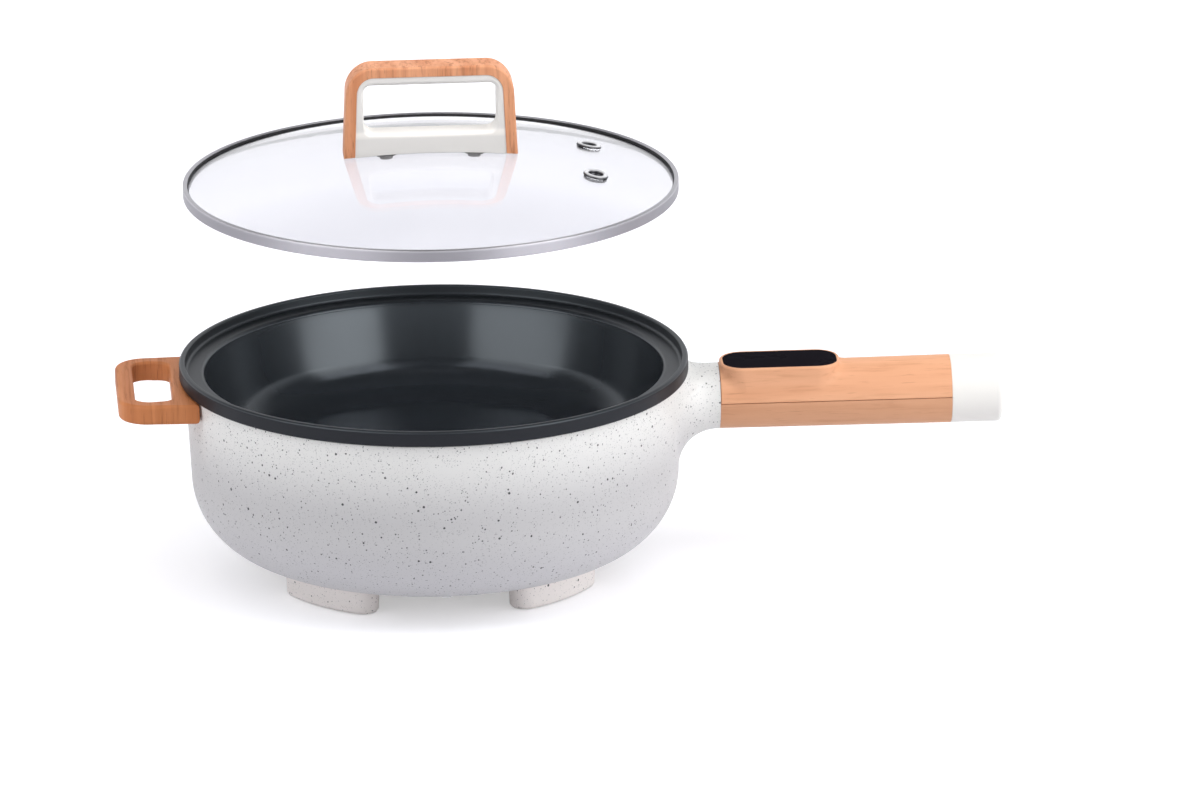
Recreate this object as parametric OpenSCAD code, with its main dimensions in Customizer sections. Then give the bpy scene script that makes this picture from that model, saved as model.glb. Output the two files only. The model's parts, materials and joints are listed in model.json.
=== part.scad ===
// Electric skillet with a lift-off glass lid, a long round handle and a loop helper handle.
// Millimetres, +Z up, +X along the long handle, standing on z = 0.
// The bowl axis is at x = pot_x, so that the origin lies under the middle of the overall length.

/* [Bowl and rim] */
// Outer diameter of the bowl rim
rim_d = 300; // [296:1:304]
// Height of the rim top above the table
rim_z = 130.6; // [129.6:0.2:132]
// Height of the outer face of the rim band
rim_band_h = 9; // [8:0.5:10]
// Depth of the lid ledge below the rim top
ledge_drop = 6; // [5.5:0.1:6.4]
// Radius of the flat cooking floor
floor_r = 96; // [95.5:0.5:97]
// Radius between the wall and the floor, inside
floor_fillet = 35.5; // [34.5:0.5:36]
// Lean of the bowl wall outwards, in degrees
wall_lean = 13; // [12.5:0.5:13.5]
// Thickness of the bowl floor
floor_t = 4; // [3:0.5:5]

/* [Body] */
// Largest radius of the body wall at its top edge
body_top_r = 147; // [146.2:0.2:148]
// Radius of the body wall where the lower curve starts
body_low_r = 143.8; // [143:0.2:145]
// Radius of the lower curve of the body
body_curve = 47; // [46:1:49]
// Height of the flat underside above the table
base_z = 15.8; // [15:0.1:16.4]
// Thickness of the body wall
body_wall = 3; // [2.6:0.1:3.4]

/* [Feet] */
// Middle radius of the arc feet
foot_mid = 92.3; // [91:0.1:93]
// Angle of a foot from the upright plane through the handles, in degrees
foot_angle = 43.5; // [42:0.5:46]
// Half width of a foot, radially
foot_half_w = 9.2; // [8.4:0.1:9.4]
// Half angle of the straight part of a foot
foot_half_a = 15.5; // [12:0.5:17]
// How far the rubber pads stand out below the feet
pad_out = 0.8; // [0.5:0.1:1.2]

/* [Long handle] */
// Height of the handle axis
axis_z = 101.5; // [100.5:0.5:102.5]
// Distance of the neck end from the bowl axis
neck_x = 168; // [166:0.5:170]
// Radius of the handle at the neck
grip_r = 19.5; // [19.2:0.1:20]
// Growth of the handle radius along its length
grip_flare = 0.7; // [0:0.1:1]
// Distance of the end cap joint from the bowl axis
cap_x = 305; // [303:0.5:307]
// Length of the end cap
cap_len = 30; // [29:0.5:33]
// Radius of the fillet under the neck
neck_fillet = 24; // [22:0.5:26]

/* [Touch panel] */
// Length of the black panel
panel_len = 67.2; // [64:0.2:68]
// Width of the black panel
panel_w = 33.2; // [31:0.2:33.6]
// Width of the raised bezel around the panel
bezel_w = 1.9; // [1.5:0.1:2.2]
// Height of the bezel top above the handle axis
bezel_h = 21.3; // [20.8:0.1:22]

/* [Helper handle] */
// Reach of the helper handle from the bowl axis
helper_out = 187; // [184:1:192]
// Width of the helper handle
helper_w = 99; // [94:1:102]
// Thickness of the helper handle
helper_t = 11.8; // [10:0.2:12.4]
// Width of the bars of the helper handle
helper_bar = 10; // [9:0.5:11]

/* [Lid] */
// Height of the lid above its seat, as in the picture
lid_lift = 107; // [20:1:140]
// Outer radius of the steel band
band_r = 145.5; // [144.6:0.1:145.7]
// Height of the steel band
band_h = 8; // [7.8:0.1:9]
// Rise of the glass above the band
dome_rise = 18.4; // [18:0.1:18.6]
// Thickness of the glass
glass_t = 4; // [3.6:0.1:4.2]
// Distance of the steam vents from the lid centre
vent_r = 100; // [92:1:108]

/* [Lid handle] */
// Half width of the lid handle at its base
arch_half_w = 51; // [49:0.5:54]
// Height of the lid handle above the glass
arch_h = 52.2; // [50:0.2:56]
// Depth of the wood-look arch
arch_depth = 18.5; // [18:0.5:20]
// Depth of the ivory frame
frame_depth = 17.5; // [15:0.5:17.6]
// Distance of the lid screws from the lid centre
lid_screw_x = 26; // [22:1:30]

/* [Hidden] */
$fn = 96;
handle_end = cap_x + cap_len;
pot_x = (helper_out - handle_end) / 2;
rim_r = rim_d / 2;
rim_low = rim_z - rim_band_h;
ledge_z = rim_z - ledge_drop;
seat_r = rim_r - 3.6;
wall_in_r = rim_r - 15;
floor_z = rim_z - 55;
curve_z = floor_z + floor_fillet;
bowl_low = floor_z - floor_t;
gasket_t = 0.8;
body_top = rim_low - gasket_t;
body_cr = body_low_r - body_curve;
body_cz = base_z + body_curve;
hole_r = body_cr + 13;
flange_z = base_z + 4.2;
flange_t = 3;
screw_ring = body_cr + 9;
boss_top = flange_z + 10.7;
rod_ring = 60;
rod_angles = [60, 180, 300];
element_r = 75;
spreader_low = bowl_low - 3.5;
shield_z = bowl_low - 23.6;
board_z = base_z + 10.2;
foot_turns = [foot_angle, 180 - foot_angle, 180 + foot_angle, 360 - foot_angle];
board_top = board_z + 1.6;
block_x = 48;
tube_r = 8;
bezel_c = neck_x + 0.8 + panel_len / 2 + bezel_w;
helper_top = body_top - 0.2;
helper_mid = helper_top - helper_t / 2;
band_z = ledge_z + 0.1 + lid_lift;
band_top = band_z + band_h;
dome_r = 500;
apex_z = band_top + dome_rise;
dome_c = apex_z - dome_r;
glass_edge = band_r - 1.5;
frame_half_w = arch_half_w - 6.6;
frame_h = arch_h - 5.8;
lean = 0.0009;
vent_angle = 18;

// Points on an arc about c, from angle a0 to a1
function arc(c, r, a0, a1, n) =
  [for (i = [0:n]) [c[0] + r * cos(a0 + (a1 - a0) * i / n), c[1] + r * sin(a0 + (a1 - a0) * i / n)]];

// Outline of a rectangle with round corners
function rounded(x0, x1, y0, y1, r, n) = concat(
  arc([x1 - r, y1 - r], r, 0, 90, n),
  arc([x0 + r, y1 - r], r, 90, 180, n),
  arc([x0 + r, y0 + r], r, 180, 270, n),
  arc([x1 - r, y0 + r], r, 270, 360, n));

// Outline of an arch that stands on open legs, leaning inwards towards the top
function arch(w, h, r, n) = [for (p = concat(
  [[w, -6]],
  arc([w - r, h - r], r, 0, 90, n),
  arc([r - w, h - r], r, 90, 180, n),
  [[-w, -6]])) [p[0] * (1 - lean * p[1]), p[1]]];

// A point on a smooth curve through p1 and p2
function curve(p0, p1, p2, p3, t) = 0.5 * (2 * p1 + (p2 - p0) * t
  + (2 * p0 - 5 * p1 + 4 * p2 - p3) * t * t + (3 * p1 - p0 - 3 * p2 + p3) * t * t * t);
function path(w, n) = concat(
  [for (i = [0:len(w) - 2]) for (k = [0:n - 1])
    curve(w[max(i - 1, 0)], w[i], w[i + 1], w[min(i + 2, len(w) - 1)], k / n)],
  [w[len(w) - 1]]);
function unit(v) = v / norm(v);

// Radius of the handle at distance x from the bowl axis
function grip(x) = grip_r + grip_flare * (x - neck_x) / (cap_x - neck_x);

module about_axis() {
  translate([0, 0, axis_z]) rotate([0, 90, 0]) children();
}

// An insulated wire along a smooth curve through the points w
module lead(w, r = 1.1) {
  p = path(w, 5);
  n = len(p);
  s = 8;
  m = len(w) - 1;
  d = [for (i = [0:n - 1]) i == 0 ? unit(w[1] - w[0]) : i == n - 1 ? unit(w[m] - w[m - 1])
    : unit(p[i + 1] - p[i - 1])];
  u = [for (i = [0:n - 1]) unit(cross(d[i], [0, 1, 0.02]))];
  v = [for (i = [0:n - 1]) cross(d[i], u[i])];
  ring = [for (i = [0:n - 1]) for (k = [0:s - 1])
    p[i] + r * (cos(360 * k / s) * u[i] + sin(360 * k / s) * v[i])];
  first = [for (k = [0:s - 1]) k];
  last = [for (k = [0:s - 1]) n * s - 1 - k];
  side = [for (i = [0:n - 2]) for (k = [0:s - 1])
    [i * s + k, (i + 1) * s + k, (i + 1) * s + (k + 1) % s, i * s + (k + 1) % s]];
  polyhedron(points = ring, faces = concat([first], side, [last]));
}

// Bowl with stepped rim
module bowl() {
  color([0.22, 0.23, 0.25]) translate([pot_x, 0, 0]) rotate_extrude() polygon(concat(
    [[0, bowl_low]],
    arc([floor_r, curve_z], floor_fillet + floor_t, 270, 360 - wall_lean, 12),
    [[wall_in_r + 4, rim_low]],
    arc([rim_r - 0.8, rim_low + 0.8], 0.8, 270, 360, 4),
    arc([rim_r - 1.4, rim_z - 1.4], 1.4, 0, 90, 5),
    arc([seat_r + 0.9, rim_z - 0.9], 0.9, 90, 180, 4),
    arc([seat_r - 1.1, ledge_z + 0.8], 0.8, 360, 270, 4),
    arc([wall_in_r + 2.4, ledge_z - 2.4], 2.4, 90, 180, 6),
    arc([floor_r, curve_z], floor_fillet, 360 - wall_lean, 270, 12),
    [[0, floor_z]]));
}

// Body shell outline, as a solid of the outer face
module body_outer() {
  rotate_extrude() polygon(concat(
    [[0, base_z]],
    arc([body_cr, body_cz], body_curve, 270, 360, 14),
    [[body_top_r, body_top], [0, body_top]]));
}

// The hollow of the body
module body_inner() {
  rotate_extrude() polygon(concat(
    [[0, flange_z + flange_t]],
    arc([body_cr, body_cz], body_curve - body_wall,
      asin((flange_z + flange_t - body_cz) / (body_curve - body_wall)), 0, 14),
    [[body_top_r - body_wall, body_top], [body_top_r - body_wall, body_top + 40], [0, body_top + 40]]));
}

// The neck flows from the body wall to the round handle
module neck() {
  a = 64;
  x1 = neck_x - neck_fillet * sin(a);
  r1 = grip_r + neck_fillet * (1 - cos(a));
  intersection() {
    about_axis() rotate_extrude() polygon(concat(
      [[0, 128], [r1 + (x1 - 128) * tan(a), 128]],
      [for (i = [0:10]) let (t = a - a * i / 10)
        [grip_r + neck_fillet * (1 - cos(t)), neck_x - neck_fillet * sin(t)]],
      [[0, neck_x]]));
    translate([neck_x, 0, axis_z + grip_r + 0.1 - 80]) rotate([0, -81, 0])
      translate([0, 0, -60]) cylinder(r = 80, h = 140);
  }
}

module housing() {
  color([0.93, 0.92, 0.9]) translate([pot_x, 0, 0]) difference() {
    union() {
      difference() {
        union() {
          body_outer();
          neck();
        }
        body_inner();
      }
      for (a = [0:90:270]) rotate(a) translate([screw_ring, 0, flange_z + 0.5])
        cylinder(r = 4.4, h = boss_top - flange_z - 0.5);
      for (y = [-20, 20]) translate([-141.2 + body_top_r - 147, y, helper_mid])
        rotate([0, -90, 0]) cylinder(r = 5, h = 3.4);
    }
    translate([0, 0, -1]) cylinder(r = hole_r, h = flange_z + 1);
    translate([0, 0, flange_z - 1]) cylinder(r = body_cr + 5, h = flange_t + 2);
    translate([0, 0, body_top]) cylinder(r = rim_r + 0.5, h = 30);
    about_axis() translate([0, 0, 120]) cylinder(r = grip_r - 3, h = neck_x - 128);
    about_axis() translate([0, 0, 150]) cylinder(r = tube_r, h = 30);
    for (a = [0:90:270]) rotate(a) translate([screw_ring, 0, flange_z - 1])
      cylinder(r = 1.5, h = boss_top - flange_z);
    for (y = [-20, 20]) translate([-130, y, helper_mid]) rotate([0, -90, 0])
      cylinder(r = 2, h = 30);
  }
}

module rim_gasket() {
  color([0.12, 0.12, 0.13]) translate([pot_x, 0, body_top]) difference() {
    cylinder(r = body_top_r - 0.6, h = gasket_t);
    translate([0, 0, -1]) cylinder(r = body_top_r - 6, h = gasket_t + 2);
  }
}

// Half section of an arc foot, about its own upright middle line
function foot_side(low) = [[foot_half_w - 1.2, low], [foot_half_w, low + 1.5],
  [foot_half_w + 0.6, base_z + 2]];

module foot() {
  low = pad_out;
  s = foot_side(low);
  rotate(-foot_half_a) rotate_extrude(angle = 2 * foot_half_a) translate([foot_mid, 0])
    polygon(concat(s, [for (i = [len(s) - 1:-1:0]) [-s[i][0], s[i][1]]]));
  for (k = [-1, 1]) rotate(k * foot_half_a) translate([foot_mid, 0, 0])
    rotate_extrude() polygon(concat([[0, low]], s, [[0, base_z + 2]]));
}

module base_cover() {
  edge = hole_r - 0.3;
  color([0.88, 0.87, 0.84]) translate([pot_x, 0, 0]) difference() {
    union() {
      rotate_extrude() polygon(concat(
        [[0, base_z], [body_cr, base_z]],
        arc([body_cr, body_cz], body_curve, 272, 270 + asin((edge - body_cr) / body_curve), 4),
        [[edge, flange_z], [body_cr + 2, flange_z], [body_cr + 2, base_z + 2.8], [0, base_z + 2.8]]));
      for (a = foot_turns) rotate(a) foot();
      for (a = rod_angles) rotate(a) translate([rod_ring, 0, base_z]) cylinder(r = 9, h = 9.5);
      for (x = [-6, 46]) for (y = [-21, 21]) translate([x, y, base_z])
        cylinder(r = 3, h = board_z - base_z);
    }
    for (a = foot_turns) rotate(a - foot_half_a + 1) rotate_extrude(angle = 2 * foot_half_a - 2)
      translate([foot_mid - 5, 0]) square([10, 1.8]);
    for (a = rod_angles) rotate(a) translate([rod_ring, 0, base_z - 1]) {
      cylinder(r = 6.5, h = 7.3);
      cylinder(r = 2.7, h = 12);
    }
    for (a = [0:90:270]) rotate(a) translate([screw_ring, 0, base_z - 1]) {
      cylinder(r = 4, h = 3.6);
      cylinder(r = 1.8, h = 8);
    }
    for (x = [-6, 46]) for (y = [-21, 21]) translate([x, y, base_z + 5]) cylinder(r = 1.2, h = 20);
    for (a = [0:30:330]) rotate(a + 15) translate([66, -2, base_z - 1]) cube([9, 4, 6]);
  }
}

module foot_pads() {
  color([0.2, 0.2, 0.2]) translate([pot_x, 0, 0]) for (a = foot_turns)
    rotate(a - foot_half_a + 1) rotate_extrude(angle = 2 * foot_half_a - 2)
      translate([foot_mid - 5, 0]) square([10, 1.8]);
}

module base_screws() {
  color([0.6, 0.6, 0.62]) translate([pot_x, 0, 0]) for (a = [0:90:270]) rotate(a)
    translate([screw_ring, 0, base_z + 1]) difference() {
      union() {
        cylinder(r = 3.4, h = 1.6);
        cylinder(r = 1.5, h = 12);
      }
      for (t = [0, 90]) rotate(t) translate([-2, -0.4, -1]) cube([4, 0.8, 1.9]);
    }
}

module tie_rods() {
  color([0.66, 0.66, 0.68]) translate([pot_x, 0, 0]) for (a = rod_angles) rotate(a)
    translate([rod_ring, 0, 0]) {
      translate([0, 0, base_z + 1.3]) cylinder(r = 2.5, h = bowl_low - base_z - 1.3);
      translate([0, 0, bowl_low - 3]) cylinder(r = 5, h = 3);
    }
}

module hex_nut(z) {
  translate([0, 0, z]) difference() {
    cylinder(r = 4.6, h = 4, $fn = 6);
    translate([0, 0, -1]) cylinder(r = 2.5, h = 6);
  }
}

module rod_nuts() {
  color([0.66, 0.66, 0.68]) translate([pot_x, 0, 0]) for (a = rod_angles) rotate(a)
    translate([rod_ring, 0, 0]) hex_nut(base_z + 2.3);
}

module helper_handle() {
  color([0.62, 0.42, 0.28]) translate([pot_x, 0, 0]) difference() {
    translate([0, 0, helper_top - helper_t]) linear_extrude(height = helper_t) difference() {
      polygon(rounded(-helper_out, -100, -helper_w / 2, helper_w / 2, 18, 8));
      polygon(rounded(helper_bar - helper_out, -155, helper_bar - helper_w / 2,
        helper_w / 2 - helper_bar, 9, 6));
    }
    body_outer();
    for (y = [-20, 20]) translate([-130, y, helper_mid]) rotate([0, -90, 0])
      cylinder(r = 1.8, h = 23);
  }
}

module helper_screws() {
  color([0.6, 0.6, 0.62]) translate([pot_x, 0, 0]) for (y = [-20, 20])
    translate([-141.2 + body_top_r - 147, y, helper_mid]) rotate([0, -90, 0]) difference() {
      union() {
        translate([0, 0, -1.8]) cylinder(r = 3.4, h = 1.8);
        translate([0, 0, -1]) cylinder(r = 1.8, h = 12.6);
      }
      for (t = [0, 90]) rotate(t) translate([-2, -0.4, -2.8]) cube([4, 0.8, 1.9]);
    }
}

// The round handle as a solid, and the hollow in it
module grip_outer() {
  about_axis() rotate_extrude() polygon([[0, neck_x], [grip_r - 0.3, neck_x],
    [grip_r, neck_x + 0.3], [grip(cap_x), cap_x - 0.3], [grip(cap_x) - 0.3, cap_x], [0, cap_x]]);
}

module grip_inner() {
  about_axis() rotate_extrude() polygon([[0, neck_x - 1], [grip_r - 2.5, neck_x - 1],
    [grip(cap_x) - 2.6, cap_x - 16], [grip_r - 2.3, cap_x - 16], [grip_r - 2.3, cap_x + 1], [0, cap_x + 1]]);
}

// Ring walls that hold the steel tube
module tube_webs() {
  about_axis() for (x = [neck_x + 3, neck_x + 28]) translate([0, 0, x]) difference() {
    cylinder(r = grip_r - 1.5, h = 3);
    translate([0, 0, -1]) cylinder(r = tube_r + 0.1, h = 5);
  }
}

module bezel_block(grow, z0, h, r) {
  translate([bezel_c, 0, z0]) linear_extrude(height = h) polygon(rounded(
    -panel_len / 2 - grow, panel_len / 2 + grow, -panel_w / 2 - grow, panel_w / 2 + grow, r, 10));
}

handle_screw_x = [neck_x + 82, cap_x - 15 - 7];

module handle_upper() {
  color([0.86, 0.7, 0.53]) translate([pot_x, 0, 0]) difference() {
    union() {
      difference() {
        union() {
          grip_outer();
          bezel_block(bezel_w, axis_z, bezel_h, 14);
        }
        grip_inner();
      }
      tube_webs();
      for (x = handle_screw_x) translate([x, 0, axis_z]) cylinder(r = 4.2, h = grip_r - 1.3);
    }
    translate([neck_x - 40, -60, axis_z - 80]) cube([240, 120, 80]);
    bezel_block(0, axis_z + bezel_h - 2, 10, 12.4);
    bezel_block(-3, axis_z + 10, 40, 9.4);
    for (x = handle_screw_x) translate([x, 0, axis_z - 1]) cylinder(r = 1.5, h = 13);
  }
}

module handle_lower() {
  color([0.84, 0.67, 0.5]) translate([pot_x, 0, 0]) difference() {
    union() {
      difference() {
        grip_outer();
        grip_inner();
      }
      tube_webs();
      for (x = handle_screw_x) translate([x, 0, axis_z + 1.5 - grip_r]) cylinder(r = 5.5, h = grip_r - 1.5);
    }
    translate([neck_x - 40, -60, axis_z]) cube([240, 120, 80]);
    for (x = handle_screw_x) translate([x, 0, axis_z - 30]) {
      cylinder(r = 3.4, h = 16.5);
      cylinder(r = 1.8, h = 40);
    }
  }
}

module handle_screws() {
  color([0.6, 0.6, 0.62]) translate([pot_x, 0, 0]) for (x = handle_screw_x)
    translate([x, 0, axis_z - 15.9]) difference() {
      union() {
        cylinder(r = 3, h = 2.4);
        cylinder(r = 1.5, h = 26);
      }
      for (t = [0, 90]) rotate(t) translate([-2, -0.4, -1]) cube([4, 0.8, 2]);
    }
}

module handle_tube() {
  color([0.7, 0.7, 0.72]) translate([pot_x, 0, 0]) about_axis() translate([0, 0, neck_x - 18])
    difference() {
      cylinder(r = tube_r, h = 50);
      translate([0, 0, -1]) cylinder(r = tube_r - 1.5, h = 52);
    }
}

module handle_cap() {
  r = grip(cap_x);
  e = handle_end;
  color([0.93, 0.93, 0.92]) translate([pot_x, 0, 0]) about_axis() rotate_extrude() polygon(concat(
    [[12, e], [12, e - 3], [16.4, e - 3], [16.4, cap_x + 1.5], [14.7, cap_x + 1.5],
      [14.7, cap_x - 8], [grip_r - 2.4, cap_x - 8], [grip_r - 2.4, cap_x], [r - 0.3, cap_x],
      [r, cap_x + 0.3]],
    arc([r - 3, e - 3], 3, 0, 90, 6)));
}

module control_panel() {
  color([0.03, 0.03, 0.035]) translate([pot_x, 0, 0])
    bezel_block(-0.15, axis_z + bezel_h - 2, 1.8, 12.25);
}

module touch_board() {
  color([0.1, 0.35, 0.2]) translate([pot_x + bezel_c, 0, axis_z + 10])
    translate([-29, -12.5, 0]) cube([58, 25, 1.6]);
}

module touch_contacts() {
  color([0.25, 0.25, 0.25]) translate([pot_x + bezel_c, 0, axis_z + 11.6])
    for (x = [-24, 18, 25]) for (y = [-6, 6]) translate([x, y, 0])
      cylinder(r = 2.4, h = bezel_h - 13.6);
}

module display() {
  color([0.15, 0.15, 0.16]) translate([pot_x + bezel_c - 17, -7, axis_z + 11.6])
    cube([28, 14, bezel_h - 14.2]);
}

module power_inlet() {
  e = handle_end;
  color([0.08, 0.08, 0.09]) translate([pot_x, 0, 0]) difference() {
    about_axis() rotate_extrude() polygon([[0, e - 23], [13, e - 23], [13, e - 6], [15.5, e - 6],
      [15.5, e - 3], [12, e - 3], [12, e - 0.6], [0, e - 0.6]]);
    translate([e - 17, 0, axis_z]) rotate([90, 0, 90]) linear_extrude(height = 20)
      polygon(rounded(-10, 10, -5.5, 5.5, 5, 6));
    for (y = [-6, 0, 6]) translate([e - 30, y, axis_z]) rotate([0, 90, 0])
      cylinder(r = 1.4, h = 20);
  }
}

module inlet_pins() {
  color([0.78, 0.66, 0.36]) translate([pot_x + handle_end - 27, 0, axis_z])
    for (y = [-6, 0, 6]) translate([0, y, 0]) rotate([0, 90, 0]) cylinder(r = 1.4, h = 20);
}

module heat_spreader() {
  color([0.72, 0.73, 0.75]) translate([pot_x, 0, spreader_low]) difference() {
    cylinder(r = 95, h = bowl_low - spreader_low);
    translate([0, 0, -1]) cylinder(r = 24, h = 10);
    for (a = rod_angles) rotate(a) translate([rod_ring, 0, -1]) cylinder(r = 5.6, h = 10);
  }
}

module heating_element() {
  color([0.5, 0.5, 0.52]) translate([pot_x, 0, 0]) {
    rotate(20) rotate_extrude(angle = 320) translate([element_r, spreader_low - 4])
      polygon(concat([[4, 0], [4, 4], [-4, 4], [-4, 0]], arc([0, 0], 4, 198, 342, 8)));
    for (a = [-20, 20]) rotate(a) translate([element_r, 0, spreader_low - 12])
      cylinder(r = 3.6, h = 11.4);
  }
}

module element_pins() {
  color([0.7, 0.7, 0.72]) translate([pot_x, 0, 0]) for (a = [-20, 20]) rotate(a)
    translate([element_r, 0, shield_z - 8]) cylinder(r = 1.8, h = spreader_low - 4 - shield_z);
}

module heat_shield() {
  z = shield_z;
  color([0.68, 0.68, 0.7]) translate([pot_x, 0, 0]) difference() {
    rotate_extrude() polygon([[18, z], [104, z], [112, z + 8], [112, z + 11], [111, z + 11],
      [111, z + 8.4], [103.6, z + 1], [18, z + 1]]);
    for (a = rod_angles) rotate(a) translate([rod_ring, 0, z - 1]) cylinder(r = 2.8, h = 4);
    for (a = [-20, 20]) rotate(a) translate([element_r, 0, z - 1]) cylinder(r = 4.5, h = 4);
  }
}

module shield_spacers() {
  color([0.7, 0.7, 0.72]) translate([pot_x, 0, shield_z + 1]) for (a = rod_angles) rotate(a)
    translate([rod_ring, 0, 0]) difference() {
      cylinder(r = 4.4, h = bowl_low - 3 - shield_z - 1);
      translate([0, 0, -1]) cylinder(r = 2.7, h = 30);
    }
}

module shield_nuts() {
  color([0.66, 0.66, 0.68]) translate([pot_x, 0, 0]) for (a = rod_angles) rotate(a)
    translate([rod_ring, 0, 0]) hex_nut(shield_z - 4);
}

module sensor_bracket() {
  z = bowl_low - 10.2;
  color([0.7, 0.7, 0.72]) translate([pot_x, 0, z]) difference() {
    union() {
      translate([-34, -7, 0]) cube([68, 14, 1.2]);
      for (x = [-34, 30]) translate([x, -7, 0]) cube([4, 14, spreader_low - z]);
    }
    translate([10, 0, -1]) cylinder(r = 2, h = 4);
  }
}

module thermostat() {
  color([0.85, 0.83, 0.78]) translate([pot_x - 9, 0, bowl_low - 9]) {
    cylinder(r = 8.5, h = 6);
    translate([0, 0, 6]) cylinder(r = 7.6, h = 3);
  }
}

module temperature_sensor() {
  color([0.72, 0.72, 0.74]) translate([pot_x + 10, 0, bowl_low - 9]) {
    cylinder(r = 4.5, h = 2);
    cylinder(r = 3.2, h = 9);
  }
}

module fuse_clip() {
  color([0.7, 0.7, 0.72]) translate([pot_x, 62, shield_z + 1]) difference() {
    translate([-5, -5, 0]) cube([10, 10, 4.6]);
    translate([-10, 0, 4]) rotate([0, 90, 0]) cylinder(r = 2.6, h = 20);
  }
}

module thermal_fuse() {
  color([0.8, 0.78, 0.72]) translate([pot_x - 14, 62, shield_z + 5]) rotate([0, 90, 0])
    cylinder(r = 2.6, h = 28);
}

module power_board() {
  color([0.1, 0.35, 0.2]) translate([pot_x, 0, board_z]) difference() {
    translate([-10, -25, 0]) cube([60, 50, 1.6]);
    for (x = [-6, 46]) for (y = [-21, 21]) translate([x, y, -1]) cylinder(r = 1.5, h = 4);
  }
}

module board_screws() {
  color([0.6, 0.6, 0.62]) translate([pot_x, 0, board_top]) for (x = [-6, 46]) for (y = [-21, 21])
    translate([x, y, 0]) {
      cylinder(r = 2.6, h = 1.8);
      translate([0, 0, -6]) cylinder(r = 1.2, h = 7);
    }
}

module relay() {
  color([0.12, 0.2, 0.4]) translate([pot_x + 8, -8, board_top]) cube([20, 16, 15]);
}

module terminal_block() {
  color([0.2, 0.42, 0.26]) translate([pot_x + block_x - 10, -14, board_top]) cube([10, 28, 11]);
}

module transformer() {
  color([0.75, 0.62, 0.2]) translate([pot_x - 7, -15, board_top]) cube([13, 18, 13]);
}

// Wires from the inlet pins through the tube and the neck to the terminal block
module mains_leads() {
  e = handle_end - 27;
  n = neck_x;
  color([0.45, 0.25, 0.15]) translate([pot_x, 0, 0]) for (k = [-1, 0, 1]) {
    y = k == 0 ? -9 : 9.6 * k;
    t = 3.4 * k;
    b = 3.4 * k;
    w = 4 * k;
    z = axis_z + (k == 0 ? -5 : 1);
    d = k == 0 ? -3.8 : 0;
    lead([[e, 6 * k, axis_z], [e - 5, 6 * k, axis_z], [e - 15, y, z],
      [n + 82, y, z], [n + 50, 0.6 * y, z], [n + 34, t, axis_z + d], [n + 10, t, axis_z + d],
      [n - 18, t, axis_z + d], [n - 27, w, axis_z - 6], [138.6, w, 84], [134, w, 60],
      [120, w, 40], [95, w, board_top + 9], [70, (w + b) / 2, board_top + 6],
      [block_x + 8, b, board_top + 6], [block_x, b, board_top + 6]]);
  }
}

module heater_leads() {
  p = [element_r * cos(20), element_r * sin(20)];
  color([0.75, 0.74, 0.7]) translate([pot_x, 0, 0]) for (k = [-1, 1])
    lead([[p[0], p[1] * k, shield_z - 8], [p[0], p[1] * k, shield_z - 11],
      [p[0] - 4, 22 * k, board_top + 8.5], [block_x + 6, 10.5 * k, board_top + 6],
      [block_x, 10.5 * k, board_top + 6]]);
}

module signal_cable() {
  n = neck_x;
  color([0.8, 0.8, 0.8]) translate([pot_x, 0, 0])
    lead([[n + 37, 0, axis_z + 10], [n + 37, 0, axis_z + 7], [n + 32, 0, axis_z + 4.2],
      [n + 26, 0, axis_z + 3.9], [n + 5, 0, axis_z + 3.9], [n - 18, 0, axis_z + 3.9],
      [n - 27, 9, axis_z - 2], [138.6, 10, 84], [134, 10, 60], [120, 11, 40],
      [92, 15, board_top + 11], [60, 17.5, board_top + 10], [44, 17, board_top + 5],
      [44, 17, board_top]]);
}

module sensor_lead() {
  color([0.8, 0.8, 0.8]) translate([pot_x, 0, 0])
    lead([[10, 0, bowl_low - 9], [10, 0, bowl_low - 15], [9, 6, shield_z], [3, 14, board_top + 9],
      [2, 15, board_top + 4], [2, 15, board_top]]);
}

// The glass with no holes, cut off at radius r
module glass_blank(r) {
  translate([0, 0, dome_c]) difference() {
    intersection() {
      sphere(r = dome_r, $fn = 240);
      translate([0, 0, dome_r - 60]) cylinder(r = r, h = 100);
    }
    sphere(r = dome_r - glass_t, $fn = 240);
  }
}

module at_vents() {
  for (a = [-vent_angle, vent_angle]) translate([0, 0, dome_c]) rotate([0, 0, a])
    rotate([0, asin(vent_r / dome_r), 0]) translate([0, 0, dome_r]) children();
}

// Screw places, square to the glass
module at_screws() {
  for (k = [-1, 1]) translate([pot_x, 0, dome_c]) rotate([0, k * asin(lid_screw_x / dome_r), 0])
    translate([0, 0, dome_r]) children();
}

module lid_glass() {
  color([0.8, 0.88, 0.88, 0.35]) difference() {
    translate([pot_x, 0, 0]) glass_blank(glass_edge);
    at_screws() translate([0, 0, -10]) cylinder(r = 3.4, h = 20);
    translate([pot_x, 0, 0]) at_vents() translate([0, 0, -10]) cylinder(r = 5.2, h = 20);
  }
}

module lid_rim() {
  r = band_r;
  color([0.72, 0.72, 0.73]) translate([pot_x, 0, band_z]) rotate_extrude() polygon(concat(
    [[r - 5, 0.6], [r - 5, 0]],
    arc([r - 1, 1], 1, 270, 360, 4),
    arc([r - 1, band_h - 1], 1, 0, 90, 4),
    [[r - 1.9, band_h], [r - 1.9, band_h - 0.6], [r - 0.6, band_h - 0.6], [r - 0.6, 0.6]]));
}

module lid_seal() {
  color([0.1, 0.1, 0.11]) translate([pot_x, 0, 0]) difference() {
    translate([0, 0, band_z + 0.6]) difference() {
      cylinder(r = band_r - 0.6, h = band_h - 1.2);
      translate([0, 0, -1]) cylinder(r = band_r - 4.4, h = band_h + 2);
    }
    glass_blank(glass_edge);
  }
}

module upright(depth) {
  translate([pot_x, depth / 2, apex_z]) rotate([90, 0, 0]) linear_extrude(height = depth) children();
}

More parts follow.
